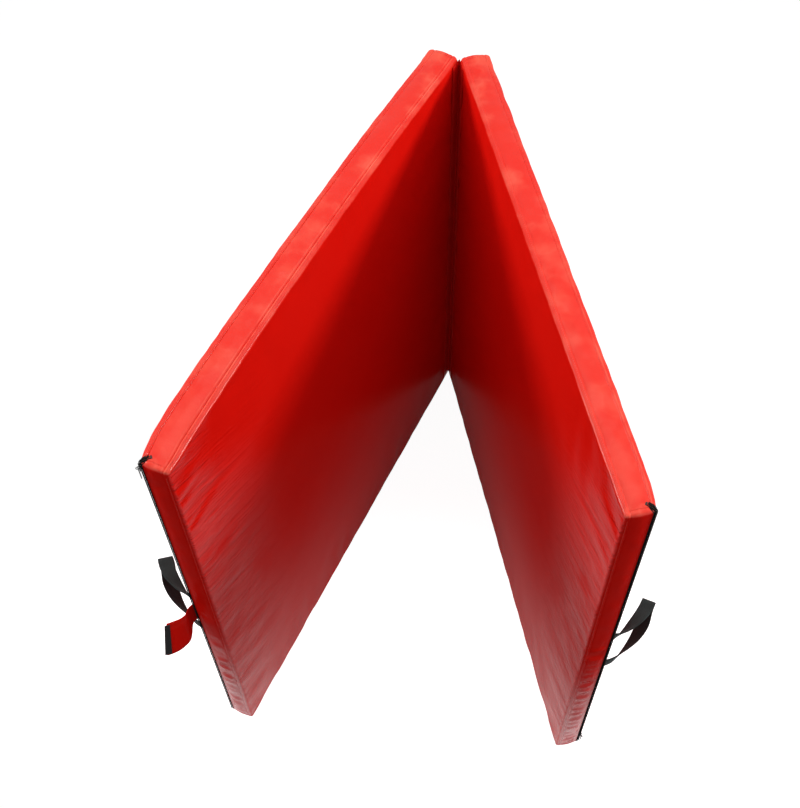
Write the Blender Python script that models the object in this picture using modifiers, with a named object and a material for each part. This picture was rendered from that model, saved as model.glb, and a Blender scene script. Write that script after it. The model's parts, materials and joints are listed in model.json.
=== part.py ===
"""Folding exercise mat: two foam panels in vinyl covers, hinged by a fabric fold strip.

Every panel is drawn in its own frame: x runs from the fold to the free end, y from the
inner face outwards and z up. The left panel is the right one's mirror image.
"""
import math

import bmesh
import bpy
from mathutils import Matrix, Vector

# Panels
PANEL_LENGTH = 1.000
PANEL_HEIGHT = 1.000
PANEL_THICKNESS = 0.0505
HALF_FOLD_ANGLE = math.radians(18.74)
EDGE_RADIUS = 0.0075

# Covers
VINYL = 0.0007
GAP = 0.0003
FOAM_SLACK = 0.0012
RIM = 0.0095
HINGE_SETBACK = 0.0020

# Fold strip
STRIP_WIDTH = 0.026
STRIP_THICKNESS = 0.0007

# Zip: tapes, coil, stops
TAPE_WIDTH = 0.0052
TAPE_THICKNESS = 0.0005
ZIP_OPENING = 0.0080
COIL_WIDTH = 0.0058
COIL_THICKNESS = 0.0017
COIL_PARTING = 0.0009
COIL_SHOULDER = 0.0006
ZIP_FOOT = 0.0060
ZIP_TAIL = 0.0080
STOP_LENGTH = 0.0025
STOP_BEVEL = 0.0004

# Zip slider
SLIDER_LENGTH = 0.0105
SLIDER_PLATE = 0.0009
SLIDER_LOWER_PLATE = 0.0007
SLIDER_LIP = 0.0010
SLIDER_LIP_DEPTH = 0.0013
SLIDER_TAPER = 0.0005
BAIL_RADIUS = 0.0030
BAIL_WIRE = 0.0006
LEFT_SLIDER_BELOW_TOP = 0.0155
RIGHT_SLIDER_HEIGHT = 0.0375

# Zip puller
PULLER_LENGTH = 0.0270
PULLER_WIDTH = 0.0064
PULLER_THICKNESS = 0.0012
PULLER_BAR = 0.0018
PULLER_SLOT_WIDTH = 0.0026
PULLER_HOLE_RADIUS = 0.0016
PULLER_CORNER = 0.0019
PULLER_SLOT_CORNER = 0.0004

# Webbing handles
WEBBING_WIDTH = 0.030
WEBBING_THICKNESS = 0.0020
WEBBING_CORNER = 0.0015
HANDLE_HEIGHT = 0.465
HANDLE_SPREAD = 0.120
HANDLE_SETBACK = 0.0150
HANDLE_TAB = 0.045
HANDLE_HINGE_GAP = 0.0014
HANDLE_REACH = 0.0982
HANDLE_LEAN = 0.0610
HANDLE_SWINGS = {"left": math.radians(4.0), "right": 0.0}

# Closure strap and its hook and loop tapes
STRAP_WIDTH = 0.060
STRAP_LENGTH = 0.095
STRAP_THICKNESS = 0.0014
STRAP_BELOW_HANDLE_END = 0.0050
STRAP_SETBACK = 0.0180
HOOK_TAPE_THICKNESS = 0.0016
HOOK_TAPE_MARGIN = 0.0030
HOOK_TAPE_OVERHANG = 0.0035
PATCH_LENGTH = 0.026
PATCH_MARGIN = 0.0040
PATCH_CORNER = 0.0020

# The panel's box in its own frame: inner face, outer face and both ends
FACE_Y = GAP + STRIP_THICKNESS + GAP
BACK_Y = FACE_Y + PANEL_THICKNESS
FOLD_X = HINGE_SETBACK
END_X = PANEL_LENGTH

# The zip runs up the rounded edge between back cover and end wall: `out` points away
# from the middle of that rounding, `across` lies along the rounding
ZIP_CENTRE = Vector((END_X - EDGE_RADIUS, BACK_Y - EDGE_RADIUS, 0.0))
ZIP_OUT = Vector((1.0, 1.0, 0.0)).normalized()
ZIP_ACROSS = Vector((-1.0, 1.0, 0.0)).normalized()
TAPE_OUT = EDGE_RADIUS + GAP
COIL_OUT = TAPE_OUT + TAPE_THICKNESS + GAP
PLATE_OUT = COIL_OUT + COIL_THICKNESS + GAP
BAIL_OUT = PLATE_OUT + SLIDER_PLATE + GAP + math.hypot(PULLER_BAR, PULLER_THICKNESS) / 2

# The strap is sewn on between the two ends of the handle
STRAP_HEIGHT = HANDLE_HEIGHT + (HANDLE_SPREAD - WEBBING_WIDTH - STRAP_WIDTH) / 2 - STRAP_BELOW_HANDLE_END

SIDES = {"left": -1.0, "right": 1.0}
SLIDER_HEIGHTS = {"left": PANEL_HEIGHT - LEFT_SLIDER_BELOW_TOP, "right": RIGHT_SLIDER_HEIGHT}
RED = (0.70, 0.022, 0.012)
DARK_RED = (0.45, 0.012, 0.010)
BLACK = (0.012, 0.012, 0.013)


def clear_scene():
    for item in list(bpy.data.objects):
        bpy.data.objects.remove(item, do_unlink=True)


def make_collection(name):
    collection = bpy.data.collections.new(name)
    bpy.context.scene.collection.children.link(collection)
    return collection


def material(name, colour, roughness, metallic=0.0):
    """A Principled material, made once and then found again by its name."""
    found = bpy.data.materials.get(name)
    if found:
        return found
    made = bpy.data.materials.new(name)
    made.use_nodes = True
    shader = made.node_tree.nodes["Principled BSDF"]
    shader.inputs["Base Color"].default_value = (*colour, 1.0)
    shader.inputs["Roughness"].default_value = roughness
    shader.inputs["Metallic"].default_value = metallic
    return made


def empty(name, parent=None, location=(0.0, 0.0, 0.0), turn=0.0):
    holder = bpy.data.objects.new(name, None)
    PARTS.objects.link(holder)
    holder.parent = parent
    holder.location = location
    holder.rotation_euler = (0.0, 0.0, turn)
    return holder


def add_mesh(mesh, name, side, parent, paint):
    """Turn a mesh drawn in the panel's frame into a named piece of the left or right panel."""
    data = bpy.data.meshes.new(name)
    if side < 0:
        bmesh.ops.transform(mesh, matrix=Matrix.Scale(-1.0, 4, (0.0, 1.0, 0.0)), verts=mesh.verts)
        bmesh.ops.reverse_faces(mesh, faces=mesh.faces)
    bmesh.ops.translate(mesh, vec=-joint_point(parent), verts=mesh.verts)
    mesh.to_mesh(data)
    mesh.free()
    data.materials.append(paint)
    piece = bpy.data.objects.new(name, data)
    PARTS.objects.link(piece)
    piece.parent = parent
    return piece


def joint_point(parent):
    """Where a piece's parent sits in the panel's frame."""
    return Vector(parent["at"]) if "at" in parent else Vector((0.0, 0.0, 0.0))


def joint_empty(name, panel, side, point, swing=0.0):
    """An empty on a joint's axis, at a point of the panel's frame; a swing turns outwards."""
    at = Vector((point[0], side * point[1], point[2]))
    holder = empty(name, panel, at, side * swing)
    holder["at"] = tuple(at)
    return holder


def thicken(piece, thickness, offset=-1.0):
    shell = piece.modifiers.new("thickness", "SOLIDIFY")
    shell.thickness = thickness
    shell.offset = offset
    shell.use_even_offset = True


def block(low, high):
    """A box between two corners."""
    mesh = bmesh.new()
    bmesh.ops.create_cube(mesh, size=1.0)
    bmesh.ops.scale(mesh, vec=Vector(high) - Vector(low), verts=mesh.verts)
    bmesh.ops.translate(mesh, vec=(Vector(high) + Vector(low)) / 2, verts=mesh.verts)
    return mesh


def rounded_block(low, high, radius, segments=3):
    """A box between two corners with every edge rounded."""
    mesh = block(low, high)
    bmesh.ops.bevel(mesh, geom=list(mesh.edges), offset=radius, offset_type="OFFSET",
                    segments=segments, profile=0.5, affect="EDGES", clamp_overlap=True)
    return mesh


def keep(mesh, point, direction):
    """Cut an open surface with a plane and keep what lies along the direction."""
    geometry = list(mesh.verts) + list(mesh.edges) + list(mesh.faces)
    bmesh.ops.bisect_plane(mesh, geom=geometry, dist=1e-7, plane_co=point, plane_no=direction,
                           clear_inner=True, clear_outer=False)


def cover_surface():
    """The whole cover's outer surface, from which each vinyl piece is cut."""
    return rounded_block((FOLD_X, FACE_Y, 0.0), (END_X, BACK_Y, PANEL_HEIGHT), EDGE_RADIUS)


def vinyl_piece(name, side, panel, cuts):
    """One vinyl piece: the part of the cover's surface that all the cuts keep."""
    mesh = cover_surface()
    for point, direction in cuts:
        keep(mesh, point, direction)
    piece = add_mesh(mesh, name, side, panel, material("red_vinyl", RED, 0.32))
    thicken(piece, VINYL)
    return piece


def foam_core(name, side, panel):
    inset = VINYL + FOAM_SLACK
    low = (FOLD_X + inset, FACE_Y + inset, inset)
    high = (END_X - inset, BACK_Y - inset, PANEL_HEIGHT - inset)
    mesh = rounded_block(low, high, EDGE_RADIUS - inset, segments=2)
    return add_mesh(mesh, name, side, panel, material("foam", (0.75, 0.72, 0.60), 0.9))


def covers(prefix, side, panel):
    """Face cover, back cover and the four gusset walls between their rims."""
    rim_low = (0.0, FACE_Y + RIM, 0.0)
    rim_high = (0.0, BACK_Y - RIM, 0.0)
    wall_low = (0.0, FACE_Y + RIM + GAP, 0.0)
    wall_high = (0.0, BACK_Y - RIM - GAP, 0.0)
    inward = (0.0, -1.0, 0.0)
    outward = (0.0, 1.0, 0.0)
    zip_back = ZIP_CENTRE + ZIP_ACROSS * (ZIP_OPENING / 2)
    zip_front = ZIP_CENTRE - ZIP_ACROSS * (ZIP_OPENING / 2)
    corner_x = END_X - EDGE_RADIUS
    hinge_x = FOLD_X + EDGE_RADIUS
    band = [(wall_low, outward), (wall_high, inward)]
    between_ends = [((corner_x - GAP, 0, 0), (-1, 0, 0)), ((hinge_x + GAP, 0, 0), (1, 0, 0))]
    middle = PANEL_HEIGHT / 2
    vinyl_piece(prefix + "face_cover", side, panel, [(rim_low, inward)])
    vinyl_piece(prefix + "back_cover", side, panel, [(rim_high, outward), (zip_back, ZIP_ACROSS)])
    vinyl_piece(prefix + "top_wall", side, panel, band + between_ends + [((0, 0, middle), (0, 0, 1))])
    vinyl_piece(prefix + "bottom_wall", side, panel, band + between_ends + [((0, 0, middle), (0, 0, -1))])
    vinyl_piece(prefix + "hinge_wall", side, panel, band + [((hinge_x, 0, 0), (-1, 0, 0))])
    vinyl_piece(prefix + "end_wall", side, panel,
                [(wall_low, outward), ((corner_x, 0, 0), (1, 0, 0)), (zip_front, -ZIP_ACROSS)])


def fold_strip_leaf(name, side, panel):
    """Half of the fold strip: it lies on the face cover and ends just short of the fold."""
    low = (GAP, GAP, EDGE_RADIUS)
    high = (STRIP_WIDTH, GAP + STRIP_THICKNESS, PANEL_HEIGHT - EDGE_RADIUS)
    return add_mesh(block(low, high), name, side, panel, material("red_tape", DARK_RED, 0.6))


def zip_point(across, out, height):
    """A point by its distance across the zip and out from the middle of its rounding."""
    return ZIP_CENTRE + ZIP_ACROSS * across + ZIP_OUT * out + Vector((0.0, 0.0, height))


def zip_stations(start, lift, steps=6):
    """Points and outward directions along the zip: up the edge and over the top corner."""
    radius = EDGE_RADIUS
    corner = zip_point(0.0, 0.0, PANEL_HEIGHT - radius)
    stations = [(zip_point(0.0, 0.0, start), ZIP_OUT, 0.0)]
    for step in range(steps + 1):
        angle = math.radians(90) * step / steps
        stations.append((corner, ZIP_OUT * math.cos(angle) + Vector((0, 0, math.sin(angle))), angle))
    stations.append((corner - ZIP_OUT * ZIP_TAIL, Vector((0.0, 0.0, 1.0)), math.radians(90)))
    return [(point + out * lift, out, angle) for point, out, angle in stations]


def loft(rows, closed_rows=False):
    """A surface through rows of points, with flat ends where the rows are closed loops."""
    mesh = bmesh.new()
    grid = [[mesh.verts.new(point) for point in row] for row in rows]
    count = len(rows[0])
    for lower, upper in zip(grid, grid[1:]):
        for index in range(count if closed_rows else count - 1):
            following = (index + 1) % count
            mesh.faces.new((lower[index], lower[following], upper[following], upper[index]))
    if closed_rows:
        mesh.faces.new(reversed(grid[0]))
        mesh.faces.new(grid[-1])
        bmesh.ops.recalc_face_normals(mesh, faces=mesh.faces)
    return mesh


def zip_tape(name, side, panel, direction):
    """One zip tape: it follows the rounded edge, then flattens as it goes over the corner."""
    columns = 4
    rows = []
    for point, out, angle in zip_stations(ZIP_FOOT, TAPE_OUT):
        curve = TAPE_OUT / max(math.cos(angle), 0.02)
        row = []
        for column in range(columns + 1):
            width = direction * (COIL_PARTING / 2 + (TAPE_WIDTH - COIL_PARTING / 2) * column / columns)
            bend = width / curve
            row.append(point + ZIP_ACROSS * curve * math.sin(bend) - out * curve * (1 - math.cos(bend)))
        rows.append(row)
    mesh = loft(rows)
    piece = add_mesh(mesh, name, side, panel, material("black_tape", BLACK, 0.8))
    thicken(piece, TAPE_THICKNESS, offset=-1.0 if direction < 0 else 1.0)
    return piece


def zip_coil(name, side, panel, direction):
    """One row of the closed coil, as its outer shape, swept along the zip."""
    inner = COIL_PARTING / 2
    outer = COIL_WIDTH / 2
    section = [(inner, 0.0), (outer, 0.0), (outer, COIL_THICKNESS - COIL_SHOULDER),
               (outer - COIL_SHOULDER, COIL_THICKNESS), (inner, COIL_THICKNESS)]
    rows = []
    for point, out, _ in zip_stations(ZIP_FOOT + STOP_LENGTH + GAP, COIL_OUT):
        rows.append([point + ZIP_ACROSS * direction * across + out * height for across, height in section])
    return add_mesh(loft(rows, closed_rows=True), name, side, panel, material("black_coil", BLACK, 0.35))


def zip_stop(name, side, panel, point, out, along):
    """A crimped metal stop past the end of the coil, lying on both tapes."""
    half = COIL_WIDTH / 2
    mesh = rounded_block((-half, 0.0, 0.0), (half, COIL_THICKNESS, STOP_LENGTH), STOP_BEVEL, segments=1)
    turn = Matrix((ZIP_ACROSS, out, along)).transposed().to_4x4()
    bmesh.ops.transform(mesh, matrix=Matrix.Translation(point) @ turn, verts=mesh.verts)
    bmesh.ops.recalc_face_normals(mesh, faces=mesh.faces)
    return add_mesh(mesh, name, side, panel, material("black_metal", BLACK, 0.3, 0.8))


def slider_body(name, side, joint, height):
    """The slider: upper plate with lips round the coil, wedge between the coil rows and
    lower plate under the tapes, drawn as one outline across the zip, with a bail on top."""
    lip_in = COIL_WIDTH / 2 + GAP
    lip_out = lip_in + SLIDER_LIP
    lip_low = COIL_OUT + COIL_THICKNESS - SLIDER_LIP_DEPTH
    wedge = COIL_PARTING / 2 - GAP
    plate_top = PLATE_OUT + SLIDER_PLATE
    lower_half = ZIP_OPENING / 2 - 2 * GAP
    lower_top = math.sqrt(TAPE_OUT ** 2 - lower_half ** 2) - GAP
    lower_bottom = lower_top - SLIDER_LOWER_PLATE
    half = [(lower_half, lower_bottom), (lower_half, lower_top), (wedge, lower_top), (wedge, PLATE_OUT),
            (lip_in, PLATE_OUT), (lip_in, lip_low), (lip_out, lip_low), (lip_out, plate_top)]
    outline = half + [(-across, out) for across, out in reversed(half)]
    rows = []
    for level, taper in ((-0.5, SLIDER_TAPER), (0.0, 0.0), (0.5, 0.0)):
        row = []
        for across, out in outline:
            narrow = math.copysign(taper, across) if abs(across) > lip_in + GAP else 0.0
            row.append(zip_point(across - narrow, out, height + level * SLIDER_LENGTH))
        rows.append(row)
    metal = material("black_metal", BLACK, 0.3, 0.8)
    body = add_mesh(loft(rows, closed_rows=True), name, side, joint, metal)
    bail = add_mesh(bail_mesh(height, plate_top), name + "_bail", side, joint, metal)
    PARTS.objects.unlink(bail)
    CUTTERS.objects.link(bail)
    bail.hide_render = True
    bail.display_type = "WIRE"
    union = body.modifiers.new("bail", "BOOLEAN")
    union.operation = "UNION"
    union.solver = "EXACT"
    union.object = bail


def bail_mesh(height, plate_top):
    """The wire arch that the puller hangs from, with both feet sunk into the upper plate."""
    foot = plate_top - SLIDER_PLATE / 2
    path = [(-BAIL_RADIUS, foot)]
    steps = 8
    for step in range(steps + 1):
        angle = math.pi - math.pi * step / steps
        path.append((BAIL_RADIUS * math.cos(angle), BAIL_OUT + BAIL_RADIUS * math.sin(angle)))
    path.append((BAIL_RADIUS, foot))
    points = [zip_point(0.0, out, height + along) for along, out in path]
    return round_wire(points, BAIL_WIRE)


def round_wire(points, radius):
    """A bevelled curve through the points, made into a mesh with its caps welded on."""
    curve = bpy.data.curves.new("wire", "CURVE")
    curve.dimensions = "3D"
    curve.bevel_depth = radius
    curve.bevel_resolution = 1
    curve.use_fill_caps = True
    spline = curve.splines.new("POLY")
    spline.points.add(len(points) - 1)
    for target, point in zip(spline.points, points):
        target.co = (*point, 1.0)
    return mesh_of_curve(curve)


def mesh_of_curve(curve):
    holder = bpy.data.objects.new("outline", curve)
    CUTTERS.objects.link(holder)
    bpy.context.view_layer.update()
    evaluated = holder.evaluated_get(bpy.context.evaluated_depsgraph_get())
    data = bpy.data.meshes.new_from_object(evaluated)
    bpy.data.objects.remove(holder, do_unlink=True)
    mesh = bmesh.new()
    mesh.from_mesh(data)
    bpy.data.meshes.remove(data)
    bmesh.ops.remove_doubles(mesh, verts=mesh.verts, dist=1e-6)
    return mesh


def flat_plate(outlines, thickness):
    """A flat plate in the x-y plane from closed outlines, of which the inner ones are holes."""
    curve = bpy.data.curves.new("outline", "CURVE")
    curve.dimensions = "2D"
    curve.fill_mode = "BOTH"
    curve.extrude = thickness / 2
    for outline in outlines:
        spline = curve.splines.new("POLY")
        spline.points.add(len(outline) - 1)
        spline.use_cyclic_u = True
        for target, (x, y) in zip(spline.points, outline):
            target.co = (x, y, 0.0, 1.0)
    return mesh_of_curve(curve)


def rounded_outline(left, right, bottom, top, radius, steps=3):
    """A rectangle with round corners, as points in order."""
    corners = [(right - radius, top - radius, 0), (left + radius, top - radius, 90),
               (left + radius, bottom + radius, 180), (right - radius, bottom + radius, 270)]
    points = []
    for x, y, first in corners:
        for step in range(steps + 1):
            angle = math.radians(first + 90 * step / steps)
            points.append((x + radius * math.cos(angle), y + radius * math.sin(angle)))
    return points


def lay_plate(mesh, right, up, centre):
    """Turn a flat plate so that its x and y run along two directions, about a centre."""
    normal = right.cross(up)
    turn = Matrix((right, up, normal)).transposed().to_4x4()
    bmesh.ops.transform(mesh, matrix=Matrix.Translation(centre) @ turn, verts=mesh.verts)
    return mesh


def zip_puller(name, side, joint, height):
    """The puller: a flat tag hanging from its bar under the bail, with a hole at its end."""
    half = PULLER_WIDTH / 2
    top = PULLER_BAR / 2
    bottom = top - PULLER_LENGTH
    slot_half = PULLER_SLOT_WIDTH / 2
    slot_end = -(BAIL_RADIUS + BAIL_WIRE + 2 * GAP)
    hole = [(PULLER_HOLE_RADIUS * math.cos(turn), bottom + half + PULLER_HOLE_RADIUS * math.sin(turn))
            for turn in (math.tau * step / 12 for step in range(12))]
    outlines = [rounded_outline(-half, half, bottom, top, PULLER_CORNER),
                rounded_outline(-slot_half, slot_half, slot_end, -top, PULLER_SLOT_CORNER, 1),
                hole]
    mesh = flat_plate(outlines, PULLER_THICKNESS)
    lay_plate(mesh, ZIP_ACROSS, Vector((0, 0, 1)), zip_point(0.0, BAIL_OUT, height))
    return add_mesh(mesh, name, side, joint, material("black_metal", BLACK, 0.3, 0.8))


def zipper(prefix, side, panel, slider_height):
    """Tapes, coil rows, end stops, and the slider and puller on empties at their joints."""
    zip_tape(prefix + "zip_tape_back", side, panel, 1)
    zip_tape(prefix + "zip_tape_end", side, panel, -1)
    zip_coil(prefix + "zip_coil_back", side, panel, 1)
    zip_coil(prefix + "zip_coil_end", side, panel, -1)
    up = Vector((0.0, 0.0, 1.0))
    tail = zip_stations(ZIP_FOOT, COIL_OUT)[-1][0]
    zip_stop(prefix + "zip_bottom_stop", side, panel, zip_point(0.0, COIL_OUT, ZIP_FOOT), ZIP_OUT, up)
    zip_stop(prefix + "zip_top_stop", side, panel, tail, up, -ZIP_OUT)
    chain = zip_point(0.0, COIL_OUT, slider_height)
    slider_joint = joint_empty(prefix + "slider_joint", panel, side, chain)
    slider_body(prefix + "zip_slider", side, slider_joint, slider_height)
    hanging = zip_point(0.0, BAIL_OUT, slider_height)
    puller_joint = joint_empty(prefix + "puller_joint", panel, side, hanging)
    zip_puller(prefix + "zip_puller", side, puller_joint, slider_height)


def smooth_path(points, steps):
    """A smooth curve through hand-set rows of numbers, with a few steps between each pair."""
    rows = [Vector(point) for point in points]
    rows = [rows[0] * 2 - rows[1]] + rows + [rows[-1] * 2 - rows[-2]]
    path = []
    for before, start, end, after in zip(rows, rows[1:], rows[2:], rows[3:]):
        for step in range(steps):
            t = step / steps
            path.append(0.5 * (2 * start + (end - before) * t
                               + (2 * before - 5 * start + 4 * end - after) * t ** 2
                               + (3 * start - before - 3 * end + after) * t ** 3))
    path.append(rows[-2])
    return path


def edge_point(forward, outward, height):
    """A point by its distance past the free end and out from the back cover."""
    return Vector((END_X + forward, BACK_Y + outward, height))


def webbing_tab(name, side, panel, height):
    """A sewn end of the handle, flat on the back cover beside the zip."""
    end = -HANDLE_SETBACK - HANDLE_HINGE_GAP
    middle = edge_point(end - HANDLE_TAB / 2, GAP + WEBBING_THICKNESS / 2, height)
    outline = rounded_outline(-HANDLE_TAB / 2, HANDLE_TAB / 2, -WEBBING_WIDTH / 2, WEBBING_WIDTH / 2,
                              WEBBING_CORNER, 1)
    mesh = flat_plate([outline], WEBBING_THICKNESS)
    lay_plate(mesh, Vector((1, 0, 0)), Vector((0, 0, 1)), middle)
    return add_mesh(mesh, name, side, panel, material("black_webbing", BLACK, 0.85))


def handle_loop(name, side, joint):
    """The handle's free webbing: upright where it is sewn, turned flat in the hand. Each
    station gives how far it leans to the fold, reaches out and stands above or below the
    middle, as shares of the named sizes, and by how many degrees the webbing is turned."""
    upper_leg = [(0.0, 0.0, 1.0, 0), (-0.057, 0.063, 1.0, 4), (0.0, 0.252, 1.033, 26),
                 (0.311, 0.567, 0.967, 50), (0.672, 0.822, 0.733, 60)]
    crest = [(1.0, 1.0, 0.467, 62), (0.918, 0.964, 0.067, 62)]
    lower_leg = [(0.574, 0.842, -0.283, 56), (0.213, 0.588, -0.517, 36), (-0.033, 0.262, -0.833, 8),
                 (-0.057, 0.063, -1.0, 2), (0.0, 0.0, -1.0, 0)]
    lift = GAP + WEBBING_THICKNESS / 2
    sideways = Vector((0.785, 0.620, 0.0))
    rows = []
    for lean, reach, rise, degrees in smooth_path(upper_leg + crest + lower_leg, 3):
        turn = math.radians(degrees)
        width = (Vector((0, 0, math.cos(turn))) + sideways * math.sin(turn)) * WEBBING_WIDTH / 2
        centre = edge_point(-HANDLE_SETBACK - HANDLE_LEAN * lean, lift + HANDLE_REACH * reach,
                            HANDLE_HEIGHT + HANDLE_SPREAD / 2 * rise)
        rows.append([centre - width, centre + width])
    piece = add_mesh(loft(rows), name, side, joint, material("black_webbing", BLACK, 0.85))
    thicken(piece, WEBBING_THICKNESS, offset=0.0)
    return piece


def handle(prefix, side, panel, swing):
    webbing_tab(prefix + "handle_end_upper", side, panel, HANDLE_HEIGHT + HANDLE_SPREAD / 2)
    webbing_tab(prefix + "handle_end_lower", side, panel, HANDLE_HEIGHT - HANDLE_SPREAD / 2)
    seam = edge_point(-HANDLE_SETBACK, GAP + WEBBING_THICKNESS / 2, HANDLE_HEIGHT)
    joint = joint_empty(prefix + "handle_joint", panel, side, seam, swing)
    handle_loop(prefix + "handle_loop", side, joint)


def strap_edge(height, shape):
    """One edge of the strap, from stations along and out as shares of the strap's length."""
    lift = GAP + STRAP_THICKNESS / 2
    return [edge_point(STRAP_LENGTH * along - STRAP_SETBACK, lift + STRAP_LENGTH * out, height)
            for along, out in smooth_path(shape, 2)]


def strap_rows():
    """Lower and upper edge of the closure strap, from its seam to its curled end."""
    lower = [(0.0, 0.0), (0.126, 0.053), (0.221, 0.079), (0.316, 0.047), (0.442, -0.021),
             (0.585, -0.063), (0.789, -0.004), (0.937, 0.103), (1.0, 0.174)]
    upper = [(0.0, 0.0), (0.126, 0.053), (0.211, 0.079), (0.284, 0.068), (0.368, 0.063),
             (0.463, 0.105), (0.547, 0.179), (0.611, 0.237), (0.653, 0.279)]
    return list(zip(strap_edge(STRAP_HEIGHT - STRAP_WIDTH / 2, lower),
                    strap_edge(STRAP_HEIGHT + STRAP_WIDTH / 2, upper)))


def strap_piece(name, side, joint, rows, thickness, paint):
    """A strip of even thickness on both sides of the surface through its rows."""
    piece = add_mesh(loft(rows), name, side, joint, paint)
    thicken(piece, thickness, offset=0.0)


def closure_strap(prefix, side, panel):
    """The vinyl strap with its hook tape, hinged where it is sewn beside the zip."""
    seam = edge_point(-STRAP_SETBACK, GAP + STRAP_THICKNESS / 2, STRAP_HEIGHT)
    joint = joint_empty(prefix + "strap_joint", panel, side, seam)
    rows = strap_rows()
    vinyl = material("red_vinyl", RED, 0.32)
    strap_piece(prefix + "closure_strap", side, joint, rows, STRAP_THICKNESS, vinyl)
    hook_tape(prefix + "closure_hook_tape", side, joint, rows)


def loop_patch(name, side, panel):
    """The loop tape that the strap closes on, flat on the back cover beside the zip."""
    thickness = HOOK_TAPE_THICKNESS
    middle = edge_point(-STRAP_SETBACK - PATCH_LENGTH / 2, GAP + thickness / 2, STRAP_HEIGHT)
    half_height = STRAP_WIDTH / 2 - PATCH_MARGIN
    outline = rounded_outline(-PATCH_LENGTH / 2, PATCH_LENGTH / 2, -half_height, half_height,
                              PATCH_CORNER, 2)
    mesh = flat_plate([outline], thickness)
    lay_plate(mesh, Vector((1, 0, 0)), Vector((0, 0, 1)), middle)
    return add_mesh(mesh, name, side, panel, material("black_loop_tape", BLACK, 0.95))


def hook_tape(name, side, joint, strap):
    """The hook tape on the strap's inner side, which runs a little past the strap's end."""
    lower, upper = strap[-1]
    before = strap[-2][0]
    past = (lower - before).normalized() * HOOK_TAPE_OVERHANG
    stations = strap[-3:] + [(lower + past, upper + past)]
    lift = STRAP_THICKNESS / 2 + GAP + HOOK_TAPE_THICKNESS / 2
    rows = []
    for index, (low, high) in enumerate(stations):
        ahead = stations[min(index + 1, len(stations) - 1)][0]
        behind = stations[max(index - 1, 0)][0]
        width = (high - low).normalized()
        down = width.cross((behind - ahead).normalized()).normalized() * lift
        margin = width * HOOK_TAPE_MARGIN
        rows.append((low + margin + down, high - margin + down))
    strap_piece(name, side, joint, rows, HOOK_TAPE_THICKNESS, material("black_loop_tape", BLACK, 0.95))


def panel(name):
    """One covered panel with everything sewn to it."""
    side = SIDES[name]
    prefix = name + "_"
    frame = empty(prefix + "panel_frame", MAT, turn=side * HALF_FOLD_ANGLE - math.radians(90))
    foam_core(prefix + "foam_core", side, frame)
    covers(prefix, side, frame)
    fold_strip_leaf(prefix + "fold_strip", side, frame)
    zipper(prefix, side, frame, SLIDER_HEIGHTS[name])
    handle(prefix, side, frame, HANDLE_SWINGS[name])
    return frame


def stand_on_origin(root):
    """Shift the mat so that the origin is the bottom centre of its bounding box."""
    bpy.context.view_layer.update()
    graph = bpy.context.evaluated_depsgraph_get()
    corners = []
    for piece in PARTS.objects:
        if piece.type == "MESH":
            seen = piece.evaluated_get(graph)
            corners += [seen.matrix_world @ vertex.co for vertex in seen.data.vertices]
    low = [min(corner[axis] for corner in corners) for axis in range(3)]
    high = [max(corner[axis] for corner in corners) for axis in range(3)]
    root.location = (-(low[0] + high[0]) / 2, -(low[1] + high[1]) / 2, -low[2])
    bpy.context.view_layer.update()


clear_scene()
PARTS = make_collection("folding_exercise_mat")
CUTTERS = make_collection("cutters")
MAT = empty("mat")
left_panel = panel("left")
right_panel = panel("right")
closure_strap("left_", SIDES["left"], left_panel)
loop_patch("right_loop_patch", SIDES["right"], right_panel)
stand_on_origin(MAT)
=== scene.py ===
"""A folding exercise mat: two foam panels in red vinyl covers, joined by a fabric fold strip,
with zipped edges, webbing handles and a closure strap, standing in a V on a white floor."""
import json
import math
import random

import bmesh
import bpy
import numpy as np
from mathutils import Matrix, Vector, noise


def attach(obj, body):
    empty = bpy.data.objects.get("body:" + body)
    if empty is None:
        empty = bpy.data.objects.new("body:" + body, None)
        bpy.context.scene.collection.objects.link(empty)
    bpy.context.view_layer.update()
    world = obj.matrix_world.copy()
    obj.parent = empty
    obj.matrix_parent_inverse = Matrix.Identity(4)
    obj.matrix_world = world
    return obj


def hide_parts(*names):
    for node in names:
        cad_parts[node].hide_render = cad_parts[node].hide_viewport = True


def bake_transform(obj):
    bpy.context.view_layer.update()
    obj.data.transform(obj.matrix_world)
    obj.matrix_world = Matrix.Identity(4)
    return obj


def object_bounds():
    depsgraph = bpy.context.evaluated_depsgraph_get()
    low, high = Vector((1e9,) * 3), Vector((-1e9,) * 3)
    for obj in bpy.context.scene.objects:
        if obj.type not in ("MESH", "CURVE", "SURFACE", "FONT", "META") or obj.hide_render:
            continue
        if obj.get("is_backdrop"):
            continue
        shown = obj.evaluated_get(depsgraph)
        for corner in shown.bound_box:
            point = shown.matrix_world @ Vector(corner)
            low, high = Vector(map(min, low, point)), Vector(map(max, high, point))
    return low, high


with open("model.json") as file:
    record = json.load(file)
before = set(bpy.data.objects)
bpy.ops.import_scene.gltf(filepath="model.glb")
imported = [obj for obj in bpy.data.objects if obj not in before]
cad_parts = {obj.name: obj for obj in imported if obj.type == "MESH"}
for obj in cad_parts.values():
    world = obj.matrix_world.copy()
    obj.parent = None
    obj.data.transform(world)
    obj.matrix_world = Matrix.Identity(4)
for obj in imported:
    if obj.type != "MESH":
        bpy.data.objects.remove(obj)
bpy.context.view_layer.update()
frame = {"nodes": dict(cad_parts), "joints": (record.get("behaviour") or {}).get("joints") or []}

# The camera stands in front of the open V and above it, tipped a little to one side, so
# that both inner faces, both free ends and the whole of the top edges are seen.
PITCH_DOWN = math.radians(55.43)
TIPPED = math.radians(5.10)
TURNED = math.radians(-0.31)


def put(name, data):
    """A new object in the scene."""
    made = bpy.data.objects.new(name, data)
    bpy.context.scene.collection.objects.link(made)
    return made


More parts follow.
